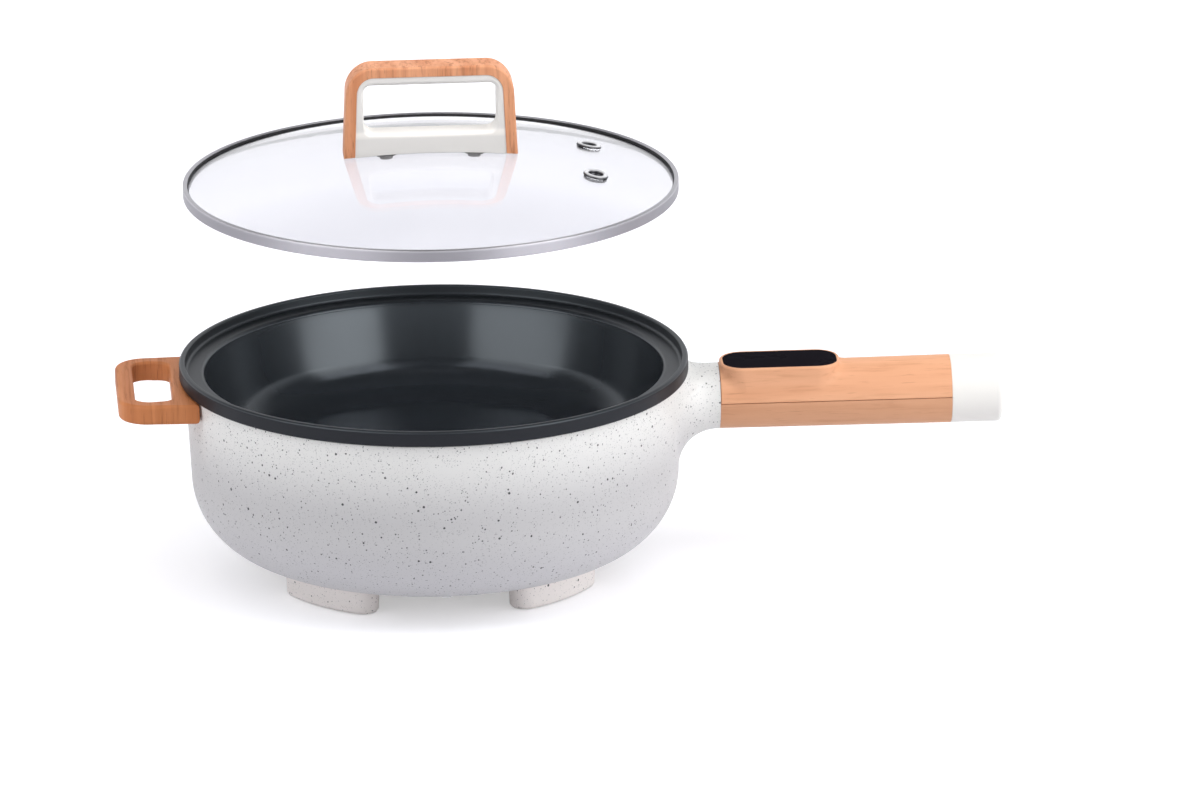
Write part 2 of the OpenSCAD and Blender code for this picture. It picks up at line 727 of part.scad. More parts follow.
module lid_handle_arch() {
  color([0.86, 0.7, 0.53]) difference() {
    upright(arch_depth) difference() {
      polygon(arch(arch_half_w, arch_h, 16, 10));
      polygon(arch(frame_half_w, frame_h, 10, 8));
    }
    upright(5) polygon(arch(frame_half_w + 1.5, frame_h + 1.5, 11.5, 8));
    translate([pot_x, 0, dome_c]) sphere(r = dome_r + 0.5);
  }
}

module lid_handle_frame() {
  color([0.93, 0.91, 0.86]) difference() {
    union() {
      upright(frame_depth) polygon(arch(frame_half_w, frame_h, 10, 8));
      upright(5) polygon(arch(frame_half_w + 1.5, frame_h + 1.5, 11.5, 8));
    }
    upright(60) polygon(rounded(-39, 39, 12, frame_h - 5, 7, 6));
    translate([pot_x, 0, dome_c]) sphere(r = dome_r, $fn = 240);
    at_screws() translate([0, 0, -8]) cylinder(r = 2, h = 17);
  }
}

module lid_screws() {
  color([0.3, 0.3, 0.32]) at_screws() translate([0, 0, -glass_t - 1.1]) difference() {
    union() {
      cylinder(r = 2, h = 14.1);
      translate([0, 0, -1.7]) cylinder(r = 3.8, h = 1.7);
    }
    for (t = [0, 90]) rotate(t) translate([-2.4, -0.5, -2.7]) cube([4.8, 1, 1.8]);
  }
}

module lid_washers() {
  color([0.1, 0.1, 0.11]) at_screws() translate([0, 0, -glass_t - 1.1]) difference() {
    cylinder(r = 5.8, h = 1.04);
    translate([0, 0, -1]) cylinder(r = 2.2, h = 4);
  }
}

module steam_vents() {
  t = glass_t;
  color([0.75, 0.75, 0.76]) translate([pot_x, 0, 0]) at_vents() rotate_extrude() polygon([
    [2.3, -t - 1.1], [6.8, -t - 1.1], [6.8, -t - 0.05], [5, -t - 0.05], [5, 0], [7.1, 0],
    [7.5, 0.4], [7.5, 0.8], [7.1, 1.2], [5.6, 1.2], [5.1, 0.9], [4.4, -1.4], [2.8, -3.2], [2.3, -3.6]]);
}

housing();
bowl();
rim_gasket();
base_cover();
foot_pads();
base_screws();
tie_rods();
rod_nuts();
helper_handle();
helper_screws();
handle_upper();
handle_lower();
handle_cap();
handle_tube();
handle_screws();
control_panel();
touch_board();
touch_contacts();
display();
power_inlet();
inlet_pins();
heating_element();
element_pins();
heat_spreader();
heat_shield();
shield_spacers();
shield_nuts();
sensor_bracket();
thermostat();
temperature_sensor();
thermal_fuse();
fuse_clip();
power_board();
board_screws();
relay();
terminal_block();
transformer();
mains_leads();
heater_leads();
signal_cable();
sensor_lead();
lid_glass();
lid_rim();
lid_seal();
lid_handle_arch();
lid_handle_frame();
lid_screws();
lid_washers();
steam_vents();
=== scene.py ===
"""Electric skillet: speckled body, non-stick bowl, wood-look handles and a lifted glass lid.

Every new shape is worked out in millimetres from the bowl axis and the table, then placed in metres.
"""
import json
import math

import bpy
import numpy as np
from mathutils import Matrix


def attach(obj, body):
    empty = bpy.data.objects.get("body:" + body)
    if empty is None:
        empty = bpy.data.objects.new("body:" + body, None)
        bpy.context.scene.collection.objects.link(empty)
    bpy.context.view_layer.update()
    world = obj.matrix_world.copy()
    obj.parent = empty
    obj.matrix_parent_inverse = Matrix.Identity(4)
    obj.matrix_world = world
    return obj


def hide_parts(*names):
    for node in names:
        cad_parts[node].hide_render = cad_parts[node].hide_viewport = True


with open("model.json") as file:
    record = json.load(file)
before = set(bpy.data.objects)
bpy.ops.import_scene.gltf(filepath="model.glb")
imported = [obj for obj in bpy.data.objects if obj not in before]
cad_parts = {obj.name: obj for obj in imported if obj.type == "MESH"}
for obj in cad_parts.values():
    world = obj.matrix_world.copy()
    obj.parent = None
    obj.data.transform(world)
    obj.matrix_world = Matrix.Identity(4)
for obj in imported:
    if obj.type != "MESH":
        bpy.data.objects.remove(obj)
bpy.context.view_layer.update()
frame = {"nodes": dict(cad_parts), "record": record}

MM = 0.001

# Sizes are in millimetres, radii and x from the bowl axis and heights from the table. In their names SOFT is
# the radius of a rounded edge, T a thickness, HALF half a width, TURN an angle in degrees and MID the middle
# of an arc

# Bowl
POT_X = -74.0
RIM_R, RIM_Z, RIM_LOW = 150.0, 130.6, 121.6
RIM_SOFT, RIM_SOFT_LOW, RIM_SKIN, EDGE_T, EDGE_SOFT = 1.4, 0.8, 0.2, 1.4, 0.4
STEP_R, STEP_LEAN, STEP_SOFT, STEP_FILLET = 146.4, 0.2, 0.9, 1.8
LEDGE_Z, MOUTH_R, MOUTH_SOFT = 124.6, 135.0, 2.4
WALL_MID, WALL_CURVE, WALL_TOP_TURN, WALL_LOW_TURN = (-218.75, 194.17), 361.0, 348.5, 343.5
CORNER_MID, CORNER_R = (105.9, 98.0), 22.4
UNDER_Z, UNDER_R, UNDER_CORNER = 71.6, 137.5, 36.0

# Body and neck
BODY_TOP, BODY_TOP_R, BODY_WALL, BODY_EDGE = 120.8, 147.0, 3.0, 0.5
BODY_CR, BODY_CZ, BODY_CURVE = 96.8, 62.8, 47.0
BODY_LOW_R = BODY_CR + BODY_CURVE
FLANGE_Z, FLANGE_T, FLANGE_IN, OPENING = 20.0, 3.0, 5.0, 13.0
NECK_X, NECK_RISE, NECK_DROP, NECK_SPREAD, NECK_WALL_R = 168.0, 22.8, 40.5, 42.0, 146.0
NECK_IN_R, NECK_SINK = 140.0, 0.06

# Long handle with its panel and end cap
AXIS_Z, CAP_X, END_X, GRIP_R, GRIP_FLARE = 101.5, 305.0, 335.0, 19.5, 0.7
NECK_GAP, SHELL_T, SHELL_SOFT, SEAM_SOFT, SEAM_HALF, SEAM_R = 0.35, 2.5, 0.3, 0.42, 0.32, 19.8
PANEL_X, PANEL_HALF, PANEL_HALF_W, PANEL_CORNER = 204.3, 33.6, 16.6, 12.4
PANEL_SOFT, PANEL_DROP, PANEL_T, PANEL_WAIST = 0.45, 0.05, 1.8, 1.2
BEZEL_W, BEZEL_H, BEZEL_SOFT, BEZEL_SOFT_IN = 1.9, 21.3, 1.5, 0.3
BEZEL_SEAT, BEZEL_ROOT, BEZEL_ROOT_H = 1.9, 0.7, 12.0
CAP_GAP, CAP_EDGE, CAP_ROUND, CAP_FACE, CAP_BORE = 0.02, 0.35, 3.0, 3.0, 15.0
SOCKET_R, SOCKET_EDGE = 12.0, 0.5

# Helper handle
HELPER_LOW, HELPER_TOP, HELPER_OUT, HELPER_IN = 108.8, 120.6, 187.0, 140.0
HELPER_HALF, HELPER_CORNER, HELPER_ROOT_R, HELPER_ROOT_SOFT = 49.5, 18.0, 145.6, 0.6
HELPER_BAR, HELPER_HOLE_IN, HELPER_HOLE_CORNER = 10.0, 155.0, 9.0
HELPER_SOFT, HELPER_SOFT_IN = 2.2, 1.8

# Lid with its band, seal, vents and handle
DOME_R, APEX_Z, GLASS_T, GLASS_R = 500.0, 258.1, 4.0, 144.0
DOME_C = APEX_Z - DOME_R
BAND_R, BAND_Z, BAND_TOP, BAND_T = 145.5, 231.7, 238.9, 0.6
BAND_FOOT, BAND_LIP, BAND_SOFT, BAND_SOFT_LOW = 5.0, 2.3, 0.5, 1.0
SEAL_R, SEAL_SLOPE, SEAL_FOOT, SEAL_GAP, SEAL_FIT = 142.3, 0.7, 1.2, 0.1, 0.02
VENT_R, VENT_TURN, VENT_CUT = 100.0, 18.0, 5.9
EYELET_R, EYELET_HALF, EYELET_H, EYELET_LOW_R, EYELET_LOW = 5.8, 1.65, 1.5, 6.8, 1.1
FRAME_HALF, FRAME_TOP, FRAME_CORNER, FRAME_DEEP = 44.4, 46.4, 10.0, 8.75
GAP_HALF, GAP_LOW, GAP_TOP, GAP_CORNERS, GAP_SOFT = 39.0, 12.0, 41.4, (4.5, 4.5, 6.0, 6.0), 2.4
ARCH_HALF, ARCH_TOP, ARCH_CORNER, ARCH_DEEP, ARCH_SOFT = 51.0, 52.2, 16.0, 9.25, 1.3
LEG_LEAN = 0.0009


# Shapes: a shell is its points and a list of face arrays

def grid(rows, cols, close_rows=False, close_cols=False):
    """Quads between neighbouring points of a rows-by-cols grid, joined end to end where closed."""
    down, across = np.arange(rows - (not close_rows)), np.arange(cols - (not close_cols))
    i, j = np.meshgrid(down, across, indexing="ij")
    i2, j2 = (i + 1) % rows, (j + 1) % cols
    return np.stack([i * cols + j, i2 * cols + j, i2 * cols + j2, i * cols + j2], -1).reshape(-1, 4)


def fan(ring, tip):
    """Triangles from a closed ring of point numbers to one tip."""
    return np.stack([ring, np.roll(ring, -1), np.full(len(ring), tip)], -1)


def loft(rings, tips=None):
    """A closed shell through a stack of closed rings. Each end closes to its tip or its ring's middle."""
    n, m, _ = rings.shape
    ends = np.array([rings[0].mean(0), rings[-1].mean(0)] if tips is None else tips, float)
    points = np.vstack([rings.reshape(-1, 3), ends])
    around = np.arange(m)
    caps = [fan(around, n * m), fan(around[::-1] + (n - 1) * m, n * m + 1)]
    return points, [grid(n, m, False, True)] + caps


def hoop(rings):
    """A closed shell through a ring of closed rings."""
    n, m, _ = rings.shape
    return rings.reshape(-1, 3), [grid(n, m, True, True)]


def trough(rings):
    """A closed shell through a stack of closed rings whose second half runs back along the first half."""
    n, m, _ = rings.shape
    k = np.arange(m // 2 - 1)
    end = np.stack([k, k + 1, m - 2 - k, m - 1 - k], -1)
    return rings.reshape(-1, 3), [grid(n, m, False, True), end, end[:, ::-1] + (n - 1) * m]


def bend(cx, cz, r, a0, a1, n):
    """Points on an arc about (cx, cz), from angle a0 to a1 in degrees, in n steps."""
    t = np.radians(np.linspace(a0, a1, n + 1))
    return np.stack([cx + r * np.cos(t), cz + r * np.sin(t)], -1)


def profile(*parts):
    """Arcs and corner points in order, with a straight run across every gap between two of them. A run's
    points crowd towards its ends, so that its shading stays flat. Repeated points are dropped, also where
    the end meets the start."""
    crowded = np.array([0, 0.02, 0.12, 0.5, 0.88, 0.98, 1])[:, None]
    touching, repeated = 0.15, 1e-4
    parts = [np.atleast_2d(np.asarray(part, float)) for part in parts]
    joined = [parts[0]]
    for before, after in zip(parts, parts[1:]):
        p, q = before[-1], after[0]
        if np.linalg.norm(q - p) > touching:
            joined.append((1 - crowded) * p + crowded * q)
        joined.append(after)
    points = np.vstack(joined)
    return points[np.linalg.norm(points - np.roll(points, 1, 0), axis=1) > repeated]


def turned(line, steps):
    """Each point (r, z) of a line goes round the bowl axis: (r cos t, r sin t, z). A line that starts and
    ends on the axis closes in two poles, any other is a closed ring."""
    t = np.linspace(0, 2 * np.pi, steps, endpoint=False)
    on_axis = line[0, 0] == 0 and line[-1, 0] == 0
    p = line[1:-1] if on_axis else line
    rings = np.stack([p[:, :1] * np.cos(t), p[:, :1] * np.sin(t), np.repeat(p[:, 1:], steps, 1)], -1)
    if on_axis:
        return loft(rings, [(0, 0, line[0, 1]), (0, 0, line[-1, 1])])
    return hoop(rings)


def about_handle(shell):
    """Moves a shell that was turned about z so that its axis is the handle axis: z becomes x."""
    p, faces = shell
    return np.stack([p[:, 2], p[:, 1], AXIS_Z - p[:, 0]], -1), faces


def rounded(x0, x1, y0, y1, radii, corner=14, side=16):
    """A closed rectangle with round corners, anticlockwise from the low end of its right side: each of the
    four corners is an arc and each side a straight run, in the given numbers of steps."""
    r = np.broadcast_to(radii, 4)
    mid = np.array([[x1 - r[0], y1 - r[0]], [x0 + r[1], y1 - r[1]],
                    [x0 + r[2], y0 + r[2]], [x1 - r[3], y0 + r[3]]])
    arcs = [bend(*mid[k], r[k], 90 * k, 90 * k + 90, corner) for k in range(4)]
    t = np.linspace(0, 1, side + 2)[1:-1, None]
    sides = [(1 - t) * arcs[k - 1][-1] + t * arcs[k][0] for k in range(4)]
    return np.vstack([part for k in range(4) for part in (sides[k], arcs[k])])


def plate_with_hole(inner, outer, low, high, soft_in, soft_out, steps=6, hold=0.3):
    """At each place along the two matched outlines the closed section goes over the top from the inner to
    the outer edge, down, and back underneath. Its edges are quarter circles, and a point a little past each
    of them keeps the flats flat. Gives each section's places on the outlines' plane, and its heights."""
    across = outer - inner
    across = across / np.linalg.norm(across, axis=1, keepdims=True)
    q = np.linspace(0, np.pi / 2, steps + 1)
    side, drop = 1 - np.cos(q), 1 - np.sin(q)

    def corner(soft):
        """Distance from the side and from the flat, from a point on the side to a point on the flat."""
        return np.r_[0, soft * side, soft + hold], np.r_[soft + hold, soft * drop, 0]

    d_in, z_in = corner(soft_in)
    d_out, z_out = corner(soft_out)
    d = np.concatenate([d_in, d_out[::-1], d_out, d_in[::-1]])
    z = np.concatenate([high - z_in, high - z_out[::-1], low + z_out, low + z_in[::-1]])
    from_in = np.repeat([True, False, False, True], len(d_in))
    a = inner[:, None] + across[:, None] * d[None, :, None]
    b = outer[:, None] - across[:, None] * d[None, :, None]
    flat = np.where(from_in[None, :, None], a, b)
    return flat, np.broadcast_to(z, flat.shape[:2])


def smooth(t):
    """Rises from 0 to 1 with level ends."""
    t = np.clip(t, 0, 1)
    return t * t * (3 - 2 * t)


def bezier(p0, p1, p2, p3, n):
    """n points on the cubic curve of four control points, for whole rows of curves at once."""
    t = np.linspace(0, 1, n)[:, None, None]
    return (1 - t) ** 3 * p0 + 3 * t * (1 - t) ** 2 * p1 + 3 * t * t * (1 - t) * p2 + t ** 3 * p3


def unit(v):
    """Rows of directions, each of length 1."""
    return v / np.linalg.norm(v, axis=1, keepdims=True)


def outward(points, faces):
    """Turns every face over if the shell's signed volume, the sum of its corner products, is negative."""
    tri = np.vstack([f[:, [0, 1, 2]] for f in faces] + [f[:, [0, 2, 3]] for f in faces if f.shape[1] == 4])
    a, b, c = (points[tri[:, k]] - points.mean(0) for k in range(3))
    return faces if np.einsum("ij,ij->", a, np.cross(b, c)) > 0 else [f[:, ::-1] for f in faces]


def piece(name, shells, finish, body, slot, *nodes, crease=35.0):
    """Joins shells into one object in metres, smooth up to the crease angle, that rides on a body and
    stands for the named solids."""
    points, faces, start = [], [], 0
    for p, fs in shells:
        used, number = np.unique(np.concatenate([f.ravel() for f in fs]), return_inverse=True)
        number = np.split(number, np.cumsum([f.size for f in fs])[:-1])
        fs = outward(p[used], [n.reshape(f.shape) for n, f in zip(number, fs)])
        faces += [f for part in fs for f in (part + start).tolist()]
        points.append(p[used])
        start += len(used)
    place = (np.vstack(points) + [POT_X, 0, 0]) * MM
    mesh = bpy.data.meshes.new(name)
    mesh.from_pydata(place.tolist(), [], faces)
    mesh.polygons.foreach_set("use_smooth", np.ones(len(mesh.polygons), bool))
    mesh.set_sharp_from_angle(angle=math.radians(crease))
    mesh.materials.append(finish)
    obj = bpy.data.objects.new(name, mesh)
    bpy.context.scene.collection.objects.link(obj)
    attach(obj, body)
    if nodes:
        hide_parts(*nodes)
    return obj


# Finishes

def rgba(value):
    """A colour, or a grey from one number, with full cover."""
    return (*value, 1) if isinstance(value, tuple) else (value, value, value, 1)


def shade(colour, factor):
    """A colour made darker by a factor."""
    return tuple(float(factor * v) for v in colour)


class Nodes:
    """Short ways to add nodes to a tree and join them."""

    def __init__(self, tree):
        self.tree = tree

    def fill(self, socket, value):
        """A socket takes a plain value or the output of another node."""
        if isinstance(value, bpy.types.NodeSocket):
            self.tree.links.new(value, socket)
        else:
            socket.default_value = value

    def node(self, kind, operation=None, **inputs):
        """A new node, its inputs filled by name, or by number as i0, i1 and i2."""
        node = self.tree.nodes.new("ShaderNode" + kind)
        if operation:
            node.operation = operation
        for key, value in inputs.items():
            self.fill(node.inputs[int(key[1:]) if key in ("i0", "i1", "i2") else key], value)
        return node

    def sum(self, a, operation, b):
        """Arithmetic on two numbers."""
        return self.node("Math", operation, i0=a, i1=b).outputs[0]

    def pick(self, test, yes, no):
        """One number where a test is 1 and another where it is 0."""
        node = self.node("Mix")
        for socket, value in zip((s for s in node.inputs if s.type == "VALUE"), (test, no, yes)):
            self.fill(socket, value)
        return next(s for s in node.outputs if s.type == "VALUE")


class Finish(Nodes):
    """One shader with layers of texture on the object's own coordinates."""

    def __init__(self, name, colour, roughness, **sockets):
        self.material = bpy.data.materials.new(name)
        self.material.use_nodes = True
        super().__init__(self.material.node_tree)
        self.shader = self.tree.nodes["Principled BSDF"]
        self.set("Base Color", rgba(colour))
        self.set("Roughness", roughness)
        for key, value in sockets.items():
            self.set(key.replace("_", " "), value)
        self.place = self.node("TexCoord").outputs["Object"]

    def set(self, socket, value):
        """Fills one of the shader's own sockets."""
        self.fill(self.shader.inputs[socket], value)

    def noise(self, scale, detail=3.0, rough=0.5, distort=0.0, stretch=None, turn=(0, 0, 0)):
        """Cloudy noise from 0 to 1 on coordinates that can be stretched and turned."""
        spot = self.place
        if stretch:
            angles = [math.radians(a) for a in turn]
            spot = self.node("Mapping", Vector=spot, Scale=stretch, Rotation=angles).outputs[0]
        return self.node("TexNoise", Vector=spot, Scale=scale, Detail=detail, Roughness=rough,
                         Distortion=distort).outputs["Fac"]

    def cells(self, scale, vector=None):
        """Distance to the middle of the nearest cell, and that cell's random colour."""
        node = self.node("TexVoronoi", Vector=vector or self.place, Scale=scale)
        return node.outputs["Distance"], node.outputs["Color"]

    def ramp(self, factor, *stops, ease=False):
        """Colours or greys at positions along a factor."""
        node = self.node("ValToRGB", Fac=factor)
        band = node.color_ramp
        band.interpolation = "EASE" if ease else "LINEAR"
        while len(band.elements) < len(stops):
            band.elements.new(0.5)
        for element, (position, value) in zip(band.elements, stops):
            element.position = position
            element.color = rgba(value)
        return node.outputs["Color"]

    def sized(self, length, scale, *stops, ease=False):
        """A ramp along a length, with stops in millimetres, which the scale per metre brings into 0 to 1."""
        stops = [(scale * MM * place, value) for place, value in stops]
        return self.ramp(self.sum(length, "MULTIPLY", scale), *stops, ease=ease)

    def mix(self, factor, a, b):
        """Colour a where the factor is 0 and b where it is 1."""
        node = self.node("Mix")
        node.data_type = "RGBA"
        self.fill(node.inputs["Factor"], factor)
        for socket, value in zip((s for s in node.inputs if s.type == "RGBA"), (a, b)):
            self.fill(socket, value if isinstance(value, bpy.types.NodeSocket) else rgba(value))
        return next(s for s in node.outputs if s.type == "RGBA")

    def bump(self, height, strength, depth):
        """Fine relief, depth in metres."""
        self.set("Normal", self.node("Bump", Height=height, Strength=strength, Distance=depth).outputs[0])

    def from_axis(self):
        """Distance from the bowl axis, height and angle round it."""
        centred = self.node("Mapping", Vector=self.place, Location=(-POT_X * MM, 0, 0)).outputs[0]
        x, y, z = self.node("SeparateXYZ", Vector=centred).outputs
        square = self.sum(self.sum(x, "MULTIPLY", x), "ADD", self.sum(y, "MULTIPLY", y))
        return self.sum(square, "SQRT", 0.0), z, self.sum(y, "ARCTAN2", x)


# Each speck size: cells per metre, radius and share of empty cells in cell sizes, colour, cover
SPECKS = ((320, 0.34, 0.72, (0.022, 0.023, 0.027), 0.97),
          (520, 0.36, 0.60, (0.05, 0.052, 0.058), 0.9),
          (760, 0.40, 0.58, (0.20, 0.20, 0.21), 0.6),
          (1150, 0.44, 0.56, (0.26, 0.26, 0.275), 0.5))


def speckled(name, base, share=1.0, painted_shade=None):
    """Moulded plastic with specks in four sizes: a speck fills the middle of a cell out to a radius that
    a random number per cell sets, and most cells have none. The share scales how many cells have one.
    Given two greys, the round wall below its top gets painted shade, and the neck keeps the plain colour."""
    f = Finish(name, base, 0.42)
    wobble = f.node("VectorMath", "MULTIPLY_ADD", i0=f.noise(900, 2.0), i1=(0.0006, 0.0006, 0.0006),
                    i2=f.place).outputs[0]
    colour = f.ramp(f.noise(14, 2.0), (0.3, shade(base, 0.97)), (0.7, base))
    if painted_shade:
        r, z, _ = f.from_axis()
        # painted shade: the wall is greyest about 70 mm up and fades to the plain colour at 117.5 mm
        wall = f.sized(z, 8.0, (30.0, painted_shade[0]), (70.0, painted_shade[1]), (117.5, base), ease=True)
        neck = f.sized(r, 5.0, (147.0, 0.0), (160.0, 1.0))
        colour = f.mix(neck, wall, colour)
    for scale, radius, empty, tone, cover in SPECKS:
        distance, random = f.cells(scale, wobble)
        spare = empty / share
        reach = f.sum(f.sum(random, "MULTIPLY", -spare), "ADD", f.sum(distance, "ADD", spare))
        colour = f.mix(f.ramp(reach, (radius * 0.82, cover), (radius, 0.0)), colour, tone)
    f.set("Base Color", colour)
    f.set("Roughness", f.ramp(f.noise(60, 4.0), (0.3, 0.38), (0.7, 0.48)))
    f.bump(f.noise(1400, 3.0), 0.12, 0.0001)
    return f.material


def wood_look(name, tones, stretch, turn, grain=1.0):
    """Wood-look print from a light, a middle and a dark tone: broad bands between the first two, fine dark
    lines as strong as the grain, and pores, all drawn out one way."""
    light, mid, dark = tones
    roughness = 0.46
    f = Finish(name, mid, roughness, Specular_IOR_Level=0.15)

    def drawn_out(fineness, detail, rough, distort):
        """Noise along the grain, finer the larger the fineness."""
        return f.noise(1.0, detail, rough, distort, [fineness * s for s in stretch], turn)

    bands = drawn_out(0.45, 3.0, 0.55, 0.7)
    lines = drawn_out(2.2, 5.0, 0.62, 0.35)
    pores = drawn_out(7.0, 2.0, 0.5, 0.0)
    colour = f.ramp(bands, (0.3, mid), (0.7, light), ease=True)
    colour = f.mix(f.ramp(lines, (0.30, 0.75 * grain), (0.46, 0.12 * grain), (0.62, 0.0)), colour, dark)
    colour = f.mix(f.ramp(pores, (0.28, 0.5 * grain), (0.36, 0.0)), colour, shade(dark, 0.75))
    f.set("Base Color", colour)
    f.set("Roughness", f.ramp(lines, (0.3, roughness + 0.1), (0.6, roughness - 0.03)))
    f.bump(pores, 0.18, 0.0001)
    return f.material


def coated(name):
    """Non-stick coating: dark slate with a sprayed, faintly flecked surface, glossier inside than on the rim
    and smoothest on the floor."""
    f = Finish(name, (0.011, 0.013, 0.016), 0.25, Specular_IOR_Level=0.75,
               Specular_Tint=(0.84, 0.93, 1.0, 1.0), Coat_Roughness=0.06)
    cloud = f.noise(30, 3.0)
    fleck = f.noise(1500, 2.0, 0.6)
    r, z, _ = f.from_axis()
    rim = f.sized(r, 5.0, (134.4, 0.0), (136.8, 1.0))
    floor = f.sized(z, 10.0, (75.8, 1.0), (77.5, 0.0))
    inside = f.ramp(cloud, (0.3, (0.0195, 0.0235, 0.0285)), (0.7, (0.0220, 0.0260, 0.0310)))
    colour = f.mix(rim, inside, (0.0085, 0.0100, 0.0125))
    f.set("Base Color", f.mix(f.ramp(fleck, (0.66, 0.0), (0.74, 0.2)), colour, (0.03, 0.034, 0.04)))
    rough = f.mix(floor, f.ramp(cloud, (0.3, 0.19), (0.7, 0.22)), 0.12)
    f.set("Roughness", f.mix(rim, rough, 0.42))
    f.set("Coat Weight", floor)
    f.bump(f.mix(floor, fleck, 0.5), 0.03, 0.00005)
    return f.material


def plastic(name, base, roughness, grain=900, strength=0.1, painted_light=None, **sockets):
    """Moulded plastic or rubber: slight clouding and a fine eroded texture. It can have painted light: a
    lighter colour about one height."""
    f = Finish(name, base, roughness, **sockets)
    colour = f.ramp(f.noise(25, 3.0), (0.3, shade(base, 0.95)), (0.7, base))
    if painted_light:
        height, lit_colour = painted_light
        _, z, _ = f.from_axis()
        # painted light: the lighter colour in a band about the given height
        there = f.sized(z, 3.0, (height - 2.8, 0.0), (height - 1.4, 1.0),
                        (height + 1.2, 1.0), (height + 2.2, 0.0))
        colour = f.mix(there, colour, lit_colour)
    f.set("Base Color", colour)
    f.set("Roughness", f.ramp(f.noise(70, 3.0), (0.3, roughness - 0.04), (0.7, roughness + 0.05)))
    f.bump(f.noise(grain, 4.0), strength, 0.0001)
    return f.material


def metal(name, base, roughness, stretch=None):
    """Bare metal with fine scratches, which can be drawn out, and a slight change of tone."""
    f = Finish(name, base, roughness, Metallic=1.0)
    lines = f.noise(500, 4.0, 0.6, 0.0, stretch)
    f.set("Base Color", f.ramp(f.noise(40, 2.0), (0.3, shade(base, 0.92)), (0.7, base)))
    f.set("Roughness", f.ramp(lines, (0.3, roughness - 0.06), (0.7, roughness + 0.08)))
    f.bump(lines, 0.08, 0.00005)
    return f.material


def spun_metal(name, base, roughness):
    """Brushed band: scratches run round the bowl axis, as a noise of distance from the axis and height, and
    stretch its reflections upright. Its top edge is polished."""
    f = Finish(name, base, roughness, Metallic=1.0, Anisotropic=0.8, Anisotropic_Rotation=0.25)
    r, z, angle = f.from_axis()
    round_axis = f.node("CombineXYZ", X=r, Y=z, Z=f.sum(angle, "MULTIPLY", 0.004)).outputs[0]
    lines = f.node("TexNoise", Vector=round_axis, Scale=4200.0, Detail=3.0).outputs["Fac"]
    polish = f.sized(z, 4.0, (BAND_TOP - 0.9, 0.0), (BAND_TOP - 0.3, 1.0))
    brushed = f.ramp(lines, (0.3, shade(base, 0.9)), (0.7, base))
    f.set("Base Color", f.mix(polish, brushed, (0.78, 0.77, 0.80)))
    f.set("Roughness", f.ramp(lines, (0.3, roughness - 0.05), (0.7, roughness + 0.07)))
    f.bump(lines, 0.05, 0.00004)
    return f.material


def eyelet(name):
    """Bright pressed steel with painted shade low down, by its height over the glass: the distance from the
    middle of the dome's sphere, less the sphere's radius."""
    f = Finish(name, (0.6, 0.6, 0.62), 0.22, Metallic=0.45)
    away = f.node("VectorMath", "DISTANCE", i0=f.place, i1=(POT_X * MM, 0, DOME_C * MM)).outputs["Value"]
    height = f.sum(away, "SUBTRACT", DOME_R * MM)
    # painted shade: dark near the glass, bright on top
    f.set("Base Color", f.sized(height, 500.0, (0.4, (0.035, 0.035, 0.04)), (0.96, (0.12, 0.12, 0.13)),
                                (1.32, (0.86, 0.86, 0.88))))
    f.set("Roughness", f.ramp(f.noise(900, 3.0), (0.3, 0.18), (0.7, 0.28)))
    f.bump(f.noise(1500, 3.0), 0.05, 0.00004)
    return f.material


def clear_glass(name):
    """Tempered glass with a slight tint and the faintest smear."""
    clean, smeared = (0.80, 0.80, 0.838), (0.83, 0.83, 0.865)
    f = Finish(name, clean, 0.0, Transmission_Weight=1.0, IOR=1.54)
    smear = f.noise(9, 4.0, 0.6)
    f.set("Roughness", f.ramp(smear, (0.4, 0.0), (0.75, 0.025)))
    f.set("Base Color", f.ramp(smear, (0.3, clean), (0.7, smeared)))
    return f.material


def circuit(name):
    """Green solder mask with paler tracks: the edges of large cells."""
    mask, track = (0.010, 0.085, 0.038), (0.03, 0.19, 0.085)
    f = Finish(name, mask, 0.32, Coat_Weight=0.3)
    distance, _ = f.cells(220)
    tracks = f.ramp(distance, (0.42, 0.0), (0.5, 1.0))
    f.set("Base Color", f.mix(tracks, mask, track))
    f.set("Roughness", f.ramp(f.noise(120), (0.3, 0.28), (0.7, 0.4)))
    f.bump(tracks, 0.2, 0.00005)
    return f.material


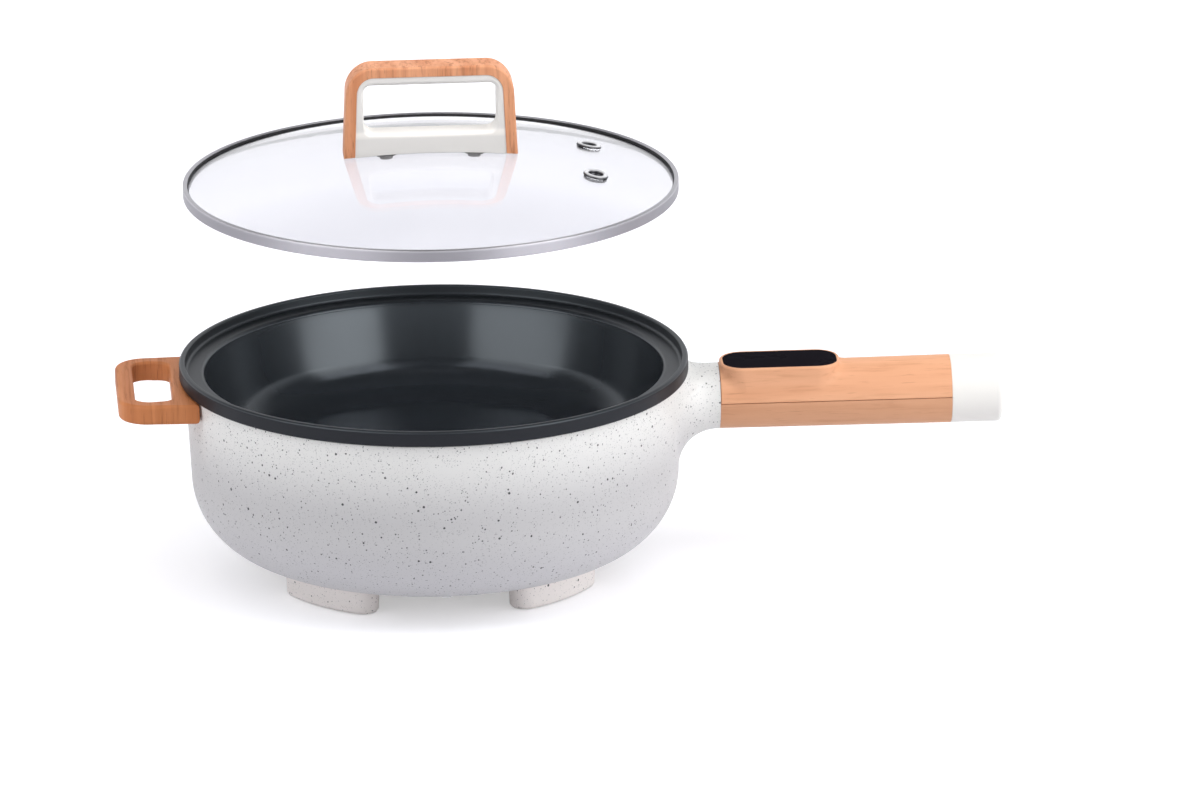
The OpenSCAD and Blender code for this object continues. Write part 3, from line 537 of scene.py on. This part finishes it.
TAN = ((0.83, 0.44, 0.258), (0.765, 0.385, 0.218), (0.53, 0.228, 0.108))
RED_BROWN = ((0.62, 0.238, 0.093), (0.52, 0.184, 0.068), (0.34, 0.115, 0.045))
LID_BROWN = ((0.84, 0.405, 0.225), (0.68, 0.275, 0.13), (0.38, 0.125, 0.055))
# The lower handle half gets a darker copy of the tan: painted shade
PAINTED_SHADE_TAN = [shade(tone, 0.85) for tone in TAN]
ALONG_HANDLE, HANDLE_TURN, HANDLE_GRAIN = (11, 150, 150), (0, 5, 9), 0.5
finishes = {
    # The body's two greys are painted shade on its round wall below the top
    "speckled_plastic": speckled("speckled_plastic", (0.77, 0.765, 0.745), 1.0,
                                 ((0.56, 0.552, 0.568), (0.515, 0.508, 0.513))),
    # The feet's warm cream is their own colour; their lightness is partly painted light where the body
    # shades them
    "base_plastic": speckled("base_plastic", (0.93, 0.88, 0.85), 0.72),
    "nonstick": coated("nonstick_coating"),
    "dull_coating": plastic("dull_coating", (0.0105, 0.0122, 0.0170), 0.45, 2600, 0.06,
                            Specular_IOR_Level=0.2),
    "black_silicone": plastic("black_silicone", (0.018, 0.018, 0.02), 0.6),
    "plain_steel": metal("zinc_steel", (0.50, 0.50, 0.52), 0.36),
    "dark_steel": metal("dark_steel", (0.10, 0.10, 0.11), 0.34),
    "wood_look_dark": wood_look("wood_look_dark", RED_BROWN, (160, 9, 9), (6, 4, 3)),
    "wood_look": wood_look("wood_look_handle", TAN, ALONG_HANDLE, HANDLE_TURN, HANDLE_GRAIN),
    "wood_look_painted_shade": wood_look("wood_look_painted_shade", PAINTED_SHADE_TAN, ALONG_HANDLE, HANDLE_TURN, HANDLE_GRAIN),
    "wood_look_lid": wood_look("wood_look_lid", LID_BROWN, (190, 75, 13), (0, 14, 8), 1.15),
    "white_plastic": plastic("white_plastic", (0.85, 0.832, 0.795), 0.4, Specular_IOR_Level=0.15),
    # The ivory gets painted light on the floor of the finger hole, where the arch above shades it
    "ivory_plastic": plastic("ivory_plastic", (0.86, 0.838, 0.805), 0.42,
                             painted_light=(APEX_Z + GAP_LOW, (1.0, 0.965, 0.915))),
    "black_panel": plastic("black_panel", (0.0075, 0.006, 0.009), 0.3, 300, 0.008,
                           Specular_IOR_Level=0.001),
    "circuit_board": circuit("circuit_board"),
    "black_plastic": plastic("black_plastic", (0.02, 0.02, 0.022), 0.5),
    "brass": metal("brass_pins", (0.72, 0.50, 0.18), 0.26),
    "aluminium": metal("mill_aluminium", (0.70, 0.70, 0.72), 0.38, (1, 12, 1)),
    "wire_cover": plastic("wire_cover", (0.32, 0.24, 0.18), 0.5),
    "glass": clear_glass("lid_glass_clear"),
    "band_steel": spun_metal("band_steel", (0.44, 0.43, 0.468), 0.54),
    "eyelet_steel": eyelet("eyelet_steel"),
}
# The lower handle half wears the darker wood as painted shade
own_finish = {"base_cover": "base_plastic", "handle_lower": "wood_look_painted_shade"}
slot_of = {part["node"]: part["material_slot"] for part in frame["record"]["subparts"]}
for node, obj in frame["nodes"].items():
    obj.data.materials.clear()
    obj.data.materials.append(finishes[own_finish.get(node, slot_of[node])])


# Bowl

def bowl_shell():
    """Flat floor, round corner to a steep, slightly hollow wall, a lid ledge and a round-edged rim."""
    rim, step, floor_z = RIM_R - RIM_SKIN, STEP_R - STEP_LEAN, CORNER_MID[1] - CORNER_R
    return turned(profile(
        (0, UNDER_Z), bend(UNDER_R - UNDER_CORNER, UNDER_Z + UNDER_CORNER, UNDER_CORNER, 270, 360, 24),
        (UNDER_R, RIM_LOW), bend(rim - RIM_SOFT_LOW, RIM_LOW + RIM_SOFT_LOW, RIM_SOFT_LOW, 270, 360, 6),
        bend(rim - RIM_SOFT, RIM_Z - RIM_SOFT, RIM_SOFT, 0, 90, 8),
        bend(STEP_R + STEP_SOFT, RIM_Z - STEP_SOFT, STEP_SOFT, 90, 180, 6),
        bend(step - STEP_FILLET, LEDGE_Z + STEP_FILLET, STEP_FILLET, 360, 270, 8),
        bend(MOUTH_R + MOUTH_SOFT, LEDGE_Z - MOUTH_SOFT, MOUTH_SOFT, 90, 180, 10),
        bend(*WALL_MID, WALL_CURVE, WALL_TOP_TURN, WALL_LOW_TURN, 14),
        bend(*CORNER_MID, CORNER_R, WALL_LOW_TURN, 270, 36), (0, floor_z)), 320)


def rim_edge_shell():
    """The dull outer edge of the rim: a thin ring with round edges."""
    inside, low, high = RIM_R - EDGE_T, RIM_LOW, RIM_Z - RIM_SOFT + RIM_SKIN
    return turned(profile(
        (inside, low), bend(RIM_R - RIM_SOFT_LOW, low + RIM_SOFT_LOW, RIM_SOFT_LOW, 270, 360, 6),
        bend(RIM_R - EDGE_SOFT, high - EDGE_SOFT, EDGE_SOFT, 0, 90, 5), (inside, high), (inside, low)), 320)


piece("bowl_pan", [bowl_shell()], finishes["nonstick"], "cooker", "nonstick", "bowl")
piece("rim_edge", [rim_edge_shell()], finishes["dull_coating"], "cooker", "nonstick")


# Body with the neck

def body_radius(z):
    """Radius of the outer wall at height z: an arc low down, then a slightly flared wall."""
    drop = np.clip(BODY_CZ - z, 0, BODY_CURVE)
    return np.where(z < BODY_CZ, BODY_CR + np.sqrt(BODY_CURVE ** 2 - drop ** 2),
                    BODY_LOW_R + (BODY_TOP_R - BODY_LOW_R) * (z - BODY_CZ) / (BODY_TOP - BODY_CZ))


def body_shell():
    """Outer wall from the base opening up to the rim, and back down the inner wall to the flange."""
    inner, flange_top, lip = BODY_CURVE - BODY_WALL, FLANGE_Z + FLANGE_T, BODY_CR + FLANGE_IN
    opening_turn = 270 + math.degrees(math.asin(OPENING / BODY_CURVE))
    flange_turn = 360 - math.degrees(math.asin((BODY_CZ - flange_top) / inner))
    return turned(profile(
        bend(BODY_CR, BODY_CZ, BODY_CURVE, opening_turn, 360, 44),
        bend(BODY_TOP_R - BODY_EDGE, BODY_TOP - BODY_EDGE, BODY_EDGE, 0, 90, 5),
        (BODY_TOP_R - BODY_WALL, BODY_TOP), bend(BODY_CR, BODY_CZ, inner, 360, flange_turn, 16),
        (lip, flange_top), (lip, FLANGE_Z), (BODY_CR + OPENING, FLANGE_Z)), 320)


def neck_shell():
    """At each angle round the handle axis a cubic curve leaves the round end along the axis and lands on
    the body, in line with its wall. Near the top it runs in under the rim instead. The first ring is drawn
    in to close the end, and the last lies inside the body."""
    a = np.linspace(-np.pi, np.pi, 200, endpoint=False)
    c, s = np.cos(a), np.sin(a)
    upright = np.array([0, 0, 1.0])
    z = AXIS_Z + np.where(s < 0, NECK_DROP * s, NECK_RISE * s)
    on_wall = np.minimum(z, BODY_TOP)
    turn = NECK_SPREAD * c / NECK_WALL_R
    out = np.stack([np.cos(turn), np.sin(turn), 0 * turn], -1)
    side = np.stack([-np.sin(turn), np.cos(turn), 0 * turn], -1)
    step = 0.5
    lean = (body_radius(on_wall) - body_radius(on_wall - step)) / step
    along_wall = c[:, None] * side + s[:, None] * (lean[:, None] * out + upright)
    under_rim = 0.75 * upright - 0.66 * out
    top_from, top_over = 0.45, 0.5
    top = smooth((s - top_from) / top_over)[:, None]
    arrive = unit((1 - top) * along_wall + top * under_rim)
    start = np.stack([np.full_like(a, NECK_X), GRIP_R * c, AXIS_Z + GRIP_R * s], -1)
    land = (body_radius(on_wall) - NECK_SINK)[:, None] * out + z[:, None] * upright
    reach = np.linalg.norm(land - start, axis=1)[:, None]
    pull_start, pull_land = 0.44, 0.36
    leave = np.array([-1.0, 0, 0])
    flow = bezier(start, start + pull_start * reach * leave, land - pull_land * reach * arrive, land, 44)
    inside = NECK_IN_R * out + np.minimum(z, BODY_TOP - 0.1)[:, None] * upright
    middle = np.array([NECK_X, 0, AXIS_Z])
    drawn_in = 0.6
    first = middle + drawn_in * (start - middle)
    return loft(np.concatenate([first[None], flow, inside[None]]))


piece("body_shell", [body_shell(), neck_shell()], finishes["speckled_plastic"], "cooker",
      "speckled_plastic", "housing")


# Long handle

def grip(x):
    """Radius of the handle at a distance x from the bowl axis: it flares evenly from neck to cap."""
    return GRIP_R + GRIP_FLARE * (x - NECK_X) / (CAP_X - NECK_X)


def upper_tube():
    """Upper half of the slightly flared tube about the handle axis. The closed section follows the outer
    arc, whose seam edges are rounded, and comes back along the inner arc."""
    q = np.linspace(0, np.pi / 2, 5)
    edge = SHELL_SOFT * (1 - np.cos(q))
    first = NECK_X + NECK_GAP
    x = np.concatenate([first + edge, np.linspace(first + 1, CAP_X - 1, 70), CAP_X - edge[::-1]])
    inward = np.clip(np.minimum(x - first, CAP_X - x), 0, SHELL_SOFT)
    outer_r = grip(x) - SHELL_SOFT + np.sqrt(SHELL_SOFT ** 2 - (SHELL_SOFT - inward) ** 2)
    seam = SEAM_SOFT * (1 - np.cos(q))
    drop = SEAM_SOFT - np.sqrt(SEAM_SOFT ** 2 - (SEAM_SOFT - seam) ** 2)
    low = (SEAM_HALF + seam) / SEAM_R
    over = np.linspace(low[-1], np.pi - low[-1], 130)[1:-1]
    angles = np.concatenate([low, over, np.pi - low[::-1]])
    drops = np.concatenate([drop, 0 * over, drop[::-1]])
    inner_r = np.repeat((outer_r - SHELL_T)[:, None], len(angles), 1)
    r = np.concatenate([outer_r[:, None] - drops, inner_r], 1)
    turn = np.concatenate([angles, angles[::-1]])
    along = np.repeat(x[:, None], len(turn), 1)
    return trough(np.stack([along, r * np.cos(turn), AXIS_Z + r * np.sin(turn)], -1))


def panel_outline(grow):
    """The panel's round-ended outline, moved outwards by grow."""
    h, w = PANEL_HALF + grow, PANEL_HALF_W + grow
    return rounded(-h, h, -w, w, PANEL_CORNER + grow, 20, 24) + [PANEL_X, 0]


def panel_ring(grow, z):
    """The panel's outline, moved outwards by grow, as one ring at a height."""
    line = panel_outline(grow)
    return np.column_stack([line, np.full(len(line), z)])[None]


def bezel_shell():
    """A lip round the panel. Its section goes up from the panel's seat, over a rounded lip, and down a cubic
    curve that lands on the handle in line with its surface, further out towards the ends."""
    top = AXIS_Z + BEZEL_H
    edge = panel_outline(BEZEL_W)
    normal = panel_outline(BEZEL_W + 1) - edge
    level = np.column_stack([normal, 0 * normal[:, :1]])
    spread_side, spread_end, sink, widest, pull, pull_down = 0.75, 4.0, 0.02, 0.996, 0.42, 0.6
    foot = edge + normal * (spread_side + spread_end * normal[:, :1] ** 2)
    x = np.maximum(foot[:, 0], NECK_X + NECK_GAP + 0.1)
    r = grip(x) - sink
    y = np.clip(foot[:, 1], -widest * r, widest * r)
    rise = np.sqrt(r * r - y * y)
    land = np.column_stack([x, y, AXIS_Z + rise])
    square = np.column_stack([0 * y, y / r, rise / r])
    arrive = unit(level - (level * square).sum(1, keepdims=True) * square)
    start = np.column_stack([edge, np.full(len(edge), top - BEZEL_SOFT)])
    reach = pull * np.linalg.norm(land - start, axis=1)[:, None]
    fall = np.minimum(reach, pull_down * (start - land)[:, 2:])
    flow = bezier(start, start - fall * [0, 0, 1.0], land - reach * arrive, land, 18)
    inner, outer = np.linspace(0, np.pi / 2, 5), np.linspace(np.pi / 2, 0, 9)[:-1]
    lip = [panel_ring(BEZEL_SOFT_IN * (1 - math.cos(k)), top - BEZEL_SOFT_IN * (1 - math.sin(k)))
           for k in inner]
    lip += [panel_ring(BEZEL_W - BEZEL_SOFT * (1 - math.cos(k)), top - BEZEL_SOFT * (1 - math.sin(k)))
            for k in outer]
    root = [panel_ring(grow, AXIS_Z + BEZEL_ROOT_H) for grow in (BEZEL_ROOT, 0.0)]
    return hoop(np.concatenate([panel_ring(0.0, top - BEZEL_SEAT), *lip, flow, *root]))


def panel_shell():
    """The black panel: its outline, drawn in a little over the rounded top edge."""
    top = AXIS_Z + BEZEL_H - PANEL_DROP
    q = np.linspace(0, np.pi / 2, 6)
    edge = zip(PANEL_SOFT * (np.cos(q) - 1), top + PANEL_SOFT * (np.sin(q) - 1))
    levels = [(0.0, top - PANEL_T), (0.0, top - PANEL_WAIST), *edge, (-1.2, top), (-5.0, top)]
    return loft(np.concatenate([panel_ring(grow, z) for grow, z in levels]))


def cap_shell():
    """End cap turned about the handle axis: rounded end, a mouth for the socket and a hollow inside."""
    r, start = grip(CAP_X), CAP_X + CAP_GAP
    return about_handle(turned(profile(
        (CAP_BORE, start), bend(r - CAP_EDGE, start + CAP_EDGE, CAP_EDGE, 270, 360, 4),
        bend(r - CAP_ROUND, END_X - CAP_ROUND, CAP_ROUND, 0, 90, 12),
        bend(SOCKET_R + SOCKET_EDGE, END_X - SOCKET_EDGE, SOCKET_EDGE, 90, 180, 4),
        (SOCKET_R, END_X - CAP_FACE), (CAP_BORE, END_X - CAP_FACE)), 160))


piece("handle_upper_shell", [upper_tube(), bezel_shell()], finishes["wood_look"], "cooker", "wood_look",
      "handle_upper", crease=40)
piece("touch_panel", [panel_shell()], finishes["black_panel"], "cooker", "black_panel", "control_panel")
piece("end_cap", [cap_shell()], finishes["white_plastic"], "cooker", "white_plastic", "handle_cap")


# Helper handle

def helper_shell():
    """A flat loop: the outer outline has two round corners and follows the body's wall, the hole is a round
    cornered rectangle, and every edge is rounded."""
    corners = (HELPER_ROOT_SOFT, HELPER_CORNER, HELPER_CORNER, HELPER_ROOT_SOFT)
    outer = rounded(-HELPER_OUT, -HELPER_IN, -HELPER_HALF, HELPER_HALF, corners)
    x, y = outer.T
    root = np.minimum(x, -np.sqrt(HELPER_ROOT_R ** 2 - y ** 2))
    outer = np.column_stack([np.where(x > -HELPER_IN - 10, root, x), y])
    hole = HELPER_HALF - HELPER_BAR
    inner = rounded(HELPER_BAR - HELPER_OUT, -HELPER_HOLE_IN, -hole, hole, HELPER_HOLE_CORNER)
    flat, z = plate_with_hole(inner, outer, HELPER_LOW, HELPER_TOP, HELPER_SOFT_IN, HELPER_SOFT)
    return hoop(np.concatenate([flat, z[..., None]], -1))


piece("helper_loop", [helper_shell()], finishes["wood_look_dark"], "cooker", "wood_look_dark",
      "helper_handle", crease=50)


# Lid

def dome(r, thick=0.0):
    """Height of the glass at distance r from the axis, at a depth below its top."""
    return DOME_C + np.sqrt((DOME_R - thick) ** 2 - r * r)


def glass_shell():
    """A shallow dome of even thickness with a rounded edge, on a polar grid that is fine round the two
    vents. Cells inside a vent are left out above and below, and a wall joins the two cut edges."""
    fine_turn, fine_r = 4.5, 8.0
    near, far = np.radians(VENT_TURN - fine_turn), np.radians(VENT_TURN + fine_turn)
    fine = np.radians(np.linspace(-fine_turn, fine_turn, 46))
    t = np.sort(np.concatenate([
        fine + np.radians(VENT_TURN), fine + np.radians(360 - VENT_TURN),
        np.linspace(-near, near, 20, endpoint=False)[1:] % (2 * np.pi),
        np.linspace(far, 2 * np.pi - far, 230, endpoint=False)[1:]]))
    r = np.unique(np.concatenate([
        np.linspace(2, VENT_R - fine_r, 34), np.linspace(VENT_R - fine_r, VENT_R + fine_r, 41),
        np.linspace(VENT_R + fine_r, GLASS_R - 0.8, 16)]))
    n, m = len(r), len(t)
    edge_r = GLASS_R - np.array([0.3, 0, 0, 0.3])
    edge_drop = np.array([0.15, 0.7, GLASS_T - 0.7, GLASS_T - 0.15])
    radius = np.concatenate([r, edge_r, r[::-1]])[:, None]
    height = np.concatenate([dome(r), dome(edge_r) - edge_drop, dome(r[::-1], GLASS_T)])[:, None]
    rows = len(radius)
    rings = np.stack([radius * np.cos(t), radius * np.sin(t), np.repeat(height, m, 1)], -1)
    points = np.vstack([rings.reshape(-1, 3), [[0, 0, APEX_Z], [0, 0, APEX_Z - GLASS_T]]])
    flat = rings[..., 0] + 1j * rings[..., 1]
    cut = np.zeros((rows - 1, m), bool)
    for turn in (VENT_TURN, -VENT_TURN):
        away = np.abs(flat - VENT_R * np.exp(1j * np.radians(turn)))
        beside = np.roll(away, -1, 1)
        cut |= (away[:-1] + away[1:] + beside[:-1] + beside[1:]) / 4 < VENT_CUT
    cut[n - 1:rows - n] = False
    quads = grid(rows, m, False, True).reshape(rows - 1, m, 4)
    top, upper = cut[:n - 1], quads[:n - 1]
    walls = []
    for axis, step, pair in ((1, -1, (0, 1)), (1, 1, (2, 3)), (0, -1, (3, 0)), (0, 1, (1, 2))):
        side = top & ~np.roll(top, -step, axis)
        e = upper[side][:, pair]
        below = (rows - 1 - e // m) * m + e % m
        walls.append(np.column_stack([e, below[:, ::-1]]))
    around = np.arange(m)
    poles = [fan(around, rows * m), fan(around[::-1] + (rows - 1) * m, rows * m + 1)]
    return points, [quads[~cut]] + poles + walls


def band_shell():
    """Rolled steel band: an outer wall with round edges, turned in above and below the glass."""
    r, low, top, half = BAND_R, BAND_Z, BAND_TOP, BAND_T / 2
    return turned(profile(
        (r - BAND_FOOT, low), bend(r - BAND_SOFT_LOW, low + BAND_SOFT_LOW, BAND_SOFT_LOW, 270, 360, 8),
        bend(r - BAND_SOFT, top - BAND_SOFT, BAND_SOFT, 0, 90, 8),
        bend(r - BAND_LIP, top - half, half, 90, 270, 6),
        bend(r - BAND_T - half, top - BAND_T - half, half, 90, 0, 4),
        (r - BAND_T, low + BAND_T), (r - BAND_FOOT, low + BAND_T)), 360)


def seal_shell():
    """Rubber ring that holds the glass in the band: it grips the glass edge above and below, and its top
    slopes down to the glass."""
    fit = BAND_T + SEAL_FIT
    outside, low, top = BAND_R - fit, BAND_Z + fit, BAND_TOP - fit
    foot, edge = SEAL_R + SEAL_FOOT, GLASS_R + 0.05
    on_glass = (SEAL_R, dome(SEAL_R) + SEAL_GAP)
    return turned(profile(
        on_glass, (SEAL_R + SEAL_SLOPE, top), (outside, top), (outside, low), (foot, low),
        (foot, dome(SEAL_R, GLASS_T) - SEAL_GAP), (edge, dome(edge, GLASS_T) - SEAL_GAP),
        (edge, dome(edge) + SEAL_GAP), on_glass), 360)


def at_vents(shell):
    """Copies a shell that is turned about z to the two vents, square on the glass with z = 0 at its top."""
    points, faces = shell
    lean = math.asin(VENT_R / DOME_R)
    tilt = np.array([[math.cos(lean), 0, math.sin(lean)], [0, 1, 0], [-math.sin(lean), 0, math.cos(lean)]])
    shells = []
    for turn in (-VENT_TURN, VENT_TURN):
        c, s = math.cos(math.radians(turn)), math.sin(math.radians(turn))
        spin = np.array([[c, -s, 0], [s, c, 0], [0, 0, 1]])
        shells.append(((points + [0, 0, DOME_R]) @ (spin @ tilt).T + [0, 0, DOME_C], faces))
    return shells


def vent_shells():
    """Two pressed eyelets: a half-round ring on the glass and a sleeve down through it."""
    t = np.linspace(0, np.pi, 25)
    ring = np.column_stack([EYELET_R + EYELET_HALF * np.cos(t), 0.1 + EYELET_H * np.sin(t)])
    bore, sleeve = 4.2, 5.0
    low, under = -GLASS_T - EYELET_LOW, -GLASS_T - 0.05
    return at_vents(turned(profile(
        (bore, low), (EYELET_LOW_R, low), (EYELET_LOW_R, under), (sleeve, under), (sleeve, 0),
        (EYELET_R + EYELET_HALF, 0), ring, (bore, low)), 72))


def sleeve_shells():
    """Funnels inside the eyelets, from the ring down to the narrow hole. Their dark finish is painted shade
    inside the vents.
    """
    mouth, waist, low = (4.1, -0.2), (2.7, -3.2), -GLASS_T - EYELET_LOW + 0.05
    return at_vents(turned(profile(mouth, waist, (2.4, low), (4.14, low), mouth), 48))


def leaning(line):
    """Draws an outline of the lid handle in towards its top."""
    return np.column_stack([line[:, 0] * (1 - LEG_LEAN * line[:, 1]), line[:, 1]])


def arch_line(half, height, radius):
    """From the foot of the right leg, over two round corners, to the foot of the left leg, leaning in."""
    flat, knee, foot = half - radius, height - radius, dome(half) - APEX_Z + 0.5
    return leaning(profile(
        np.linspace((half, foot), (half, knee), 18), bend(flat, knee, radius, 0, 90, 18),
        np.linspace((flat, height), (-flat, height), 30), bend(-flat, knee, radius, 90, 180, 18),
        np.linspace((-half, knee), (-half, foot), 18)))


def arch_shell():
    """The wood-look strip over the lid handle: a round-edged rectangle carried along the arch."""
    inner = arch_line(FRAME_HALF, FRAME_TOP, FRAME_CORNER)
    outer = arch_line(ARCH_HALF, ARCH_TOP, ARCH_CORNER)
    flat, y = plate_with_hole(inner, outer, -ARCH_DEEP, ARCH_DEEP, 0.25, ARCH_SOFT)
    return loft(np.stack([flat[..., 0], y, flat[..., 1] + APEX_Z], -1))


def frame_shell():
    """The ivory frame inside the strip: its foot follows the glass, its finger hole has round edges."""
    corners = (FRAME_CORNER, FRAME_CORNER, 0.3, 0.3)
    outer = leaning(rounded(-FRAME_HALF, FRAME_HALF, -2.5, FRAME_TOP, corners, side=30))
    outer[:, 1] = np.maximum(outer[:, 1], dome(outer[:, 0]) - APEX_Z + 0.02)
    inner = rounded(-GAP_HALF, GAP_HALF, GAP_LOW, GAP_TOP, GAP_CORNERS, side=30)
    flat, y = plate_with_hole(inner, outer, -FRAME_DEEP, FRAME_DEEP, GAP_SOFT, 0.3, 10)
    return hoop(np.stack([flat[..., 0], y, flat[..., 1] + APEX_Z], -1))


piece("lid_dome", [glass_shell()], finishes["glass"], "lid", "glass", "lid_glass")
piece("lid_band", [band_shell()], finishes["band_steel"], "lid", "band_steel", "lid_rim")
piece("vent_eyelets", vent_shells(), finishes["eyelet_steel"], "lid", "band_steel", "steam_vents")
# The sleeves' dark steel paints the shade inside the vents
piece("vent_sleeves", sleeve_shells(), finishes["dark_steel"], "lid", "dark_steel")
piece("lid_gasket", [seal_shell()], finishes["black_silicone"], "lid", "black_silicone", "lid_seal")
piece("lid_arch", [arch_shell()], finishes["wood_look_lid"], "lid", "wood_look", "lid_handle_arch",
      crease=50)
piece("lid_frame", [frame_shell()], finishes["ivory_plastic"], "lid", "ivory_plastic", "lid_handle_frame",
      crease=50)


# Floor, light and camera, in metres

def floor_finish():
    """Pale matt floor. Seen directly, mirrored or through glass it gets a little light of its own, and more
    of it away from the lamps, so that it reads as white while the object's shadow stays."""
    f = Finish("pale_floor", (0.76, 0.76, 0.79), 0.9, Specular_IOR_Level=0.0)
    path = f.node("LightPath").outputs
    clear = f.sum(path["Is Transmission Ray"], "MAXIMUM", path["Is Glossy Ray"])
    seen = f.sum(path["Is Camera Ray"], "MAXIMUM", clear)
    away = f.node("VectorMath", "LENGTH", i0=f.place).outputs["Value"]
    glow = f.sized(away, 0.25, (600.0, 0.4), (2600.0, 0.66), ease=True)
    f.set("Emission Color", (1, 1, 1, 1))
    f.set("Emission Strength", f.sum(seen, "MULTIPLY", glow))
    return f.material


FLOOR_SIDE, FLOOR_BACK = 9.0, 12.0
floor_mesh = bpy.data.meshes.new("floor")
floor_mesh.from_pydata([(-FLOOR_SIDE, -FLOOR_SIDE, 0), (FLOOR_SIDE, -FLOOR_SIDE, 0),
                        (FLOOR_SIDE, FLOOR_BACK, 0), (-FLOOR_SIDE, FLOOR_BACK, 0)], [], [(0, 1, 2, 3)])
floor_mesh.materials.append(floor_finish())
floor = bpy.data.objects.new("floor", floor_mesh)
bpy.context.scene.collection.objects.link(floor)


def studio_world():
    """Even soft light. Seen directly it is white. Mirrored it is white at the horizon and falls off to a
    dim studio above it, lower in front than behind. It lights dull surfaces under the glass evenly."""
    world = bpy.data.worlds.new("studio")
    bpy.context.scene.world = world
    world.use_nodes = True
    sky = Nodes(world.node_tree)
    path = sky.node("LightPath").outputs
    _, y, z = sky.node("SeparateXYZ", Vector=sky.node("TexCoord").outputs["Generated"]).outputs
    height = sky.node("Math", "MULTIPLY_ADD", i0=y, i1=-0.22, i2=z).outputs[0]
    fall = {"From Min": 0.26, "From Max": 0.52, "To Min": 0.95, "To Max": 0.1}
    mirrored = sky.node("MapRange", Value=height, **fall).outputs[0]
    dull = sky.sum(path["Diffuse Depth"], "GREATER_THAN", 0.5)
    level = sky.pick(path["Is Glossy Ray"], mirrored, 0.51)
    level = sky.pick(path["Is Transmission Ray"], sky.pick(dull, 1.1, mirrored), level)
    level = sky.pick(path["Is Camera Ray"], 1.0, level)
    background = world.node_tree.nodes["Background"]
    sky.fill(background.inputs["Color"], (0.97, 0.975, 1.0, 1))
    sky.fill(background.inputs["Strength"], level)


def lamp(name, place, aim, width, height, power):
    """A rectangular soft light that faces its aim."""
    data = bpy.data.lights.new(name, "AREA")
    data.shape = "RECTANGLE"
    data.size, data.size_y = width, height
    data.energy = power
    obj = bpy.data.objects.new(name, data)
    obj.location = place
    back = np.array(place, float) - np.array(aim, float)
    back /= np.linalg.norm(back)
    right = np.cross([0, 0, 1.0], back)
    right /= np.linalg.norm(right)
    turn = np.column_stack([right, np.cross(back, right), back])
    obj.rotation_mode = "QUATERNION"
    obj.rotation_quaternion = Matrix(turn.tolist()).to_quaternion()
    bpy.context.scene.collection.objects.link(obj)
    return obj


studio_world()

# Four lamps light the object: name, place, aim, width, height and power in watts
BOWL, MIDDLE = (-0.07, 0.0, 0.1), (0.0, 0.0, 0.1)
for row in (("key", (1.62, -0.80, 1.15), BOWL, 1.1, 2.4, 28),
            ("fill", (-1.62, -0.66, 1.2), BOWL, 0.8, 2.2, 13),
            ("top", (0.05, -0.55, 2.5), MIDDLE, 2.2, 2.2, 22),
            ("back", (0.3, 2.3, 1.1), MIDDLE, 2.4, 1.4, 13)):
    lit = lamp(*row)
    lit.visible_glossy = lit.visible_transmission = False

# Four cards in front, two low and two high, are there for reflections alone
for name, x, y, width, low_power, high_power in (("card_right", 1.535, -1.49, 1.8, 12.5, 21),
                                                 ("card_left", -1.76, -1.414, 2.2, 10.5, 17.5)):
    for card in (lamp(name, (x, y, 0.48), BOWL, width, 0.65, low_power),
                 lamp(name + "_high", (x, y, 1.577), BOWL, width, 1.51, high_power)):
        card.visible_diffuse = False


def look(azimuth, elevation, roll, distance, focal_px, target):
    """A camera that looks at the target from an angle, with the focal length given in pixels of the
    photograph's frame."""
    frame_px, sensor_mm = 1200.0, 36.0
    a, e, r = (math.radians(v) for v in (azimuth, elevation, roll))
    back = np.array([math.sin(a) * math.cos(e), -math.cos(a) * math.cos(e), math.sin(e)])
    right = np.array([math.cos(a), math.sin(a), 0])
    up = np.cross(back, right)
    right, up = right * math.cos(r) + up * math.sin(r), up * math.cos(r) - right * math.sin(r)
    data = bpy.data.cameras.new("camera")
    data.sensor_width = sensor_mm
    data.lens = focal_px * sensor_mm / frame_px
    data.clip_end = 60.0
    obj = bpy.data.objects.new("camera", data)
    matrix = np.eye(4)
    matrix[:3] = np.column_stack([right, up, back, np.array(target) + distance * back])
    obj.matrix_world = matrix.T.tolist()
    bpy.context.scene.collection.objects.link(obj)
    bpy.context.scene.camera = obj


look(azimuth=-3.57, elevation=17.194, roll=-0.71, distance=8.0, focal_px=13556.0,
     target=(0.0239, 0.0, 0.0995))
bpy.context.scene.view_settings.view_transform = "Standard"
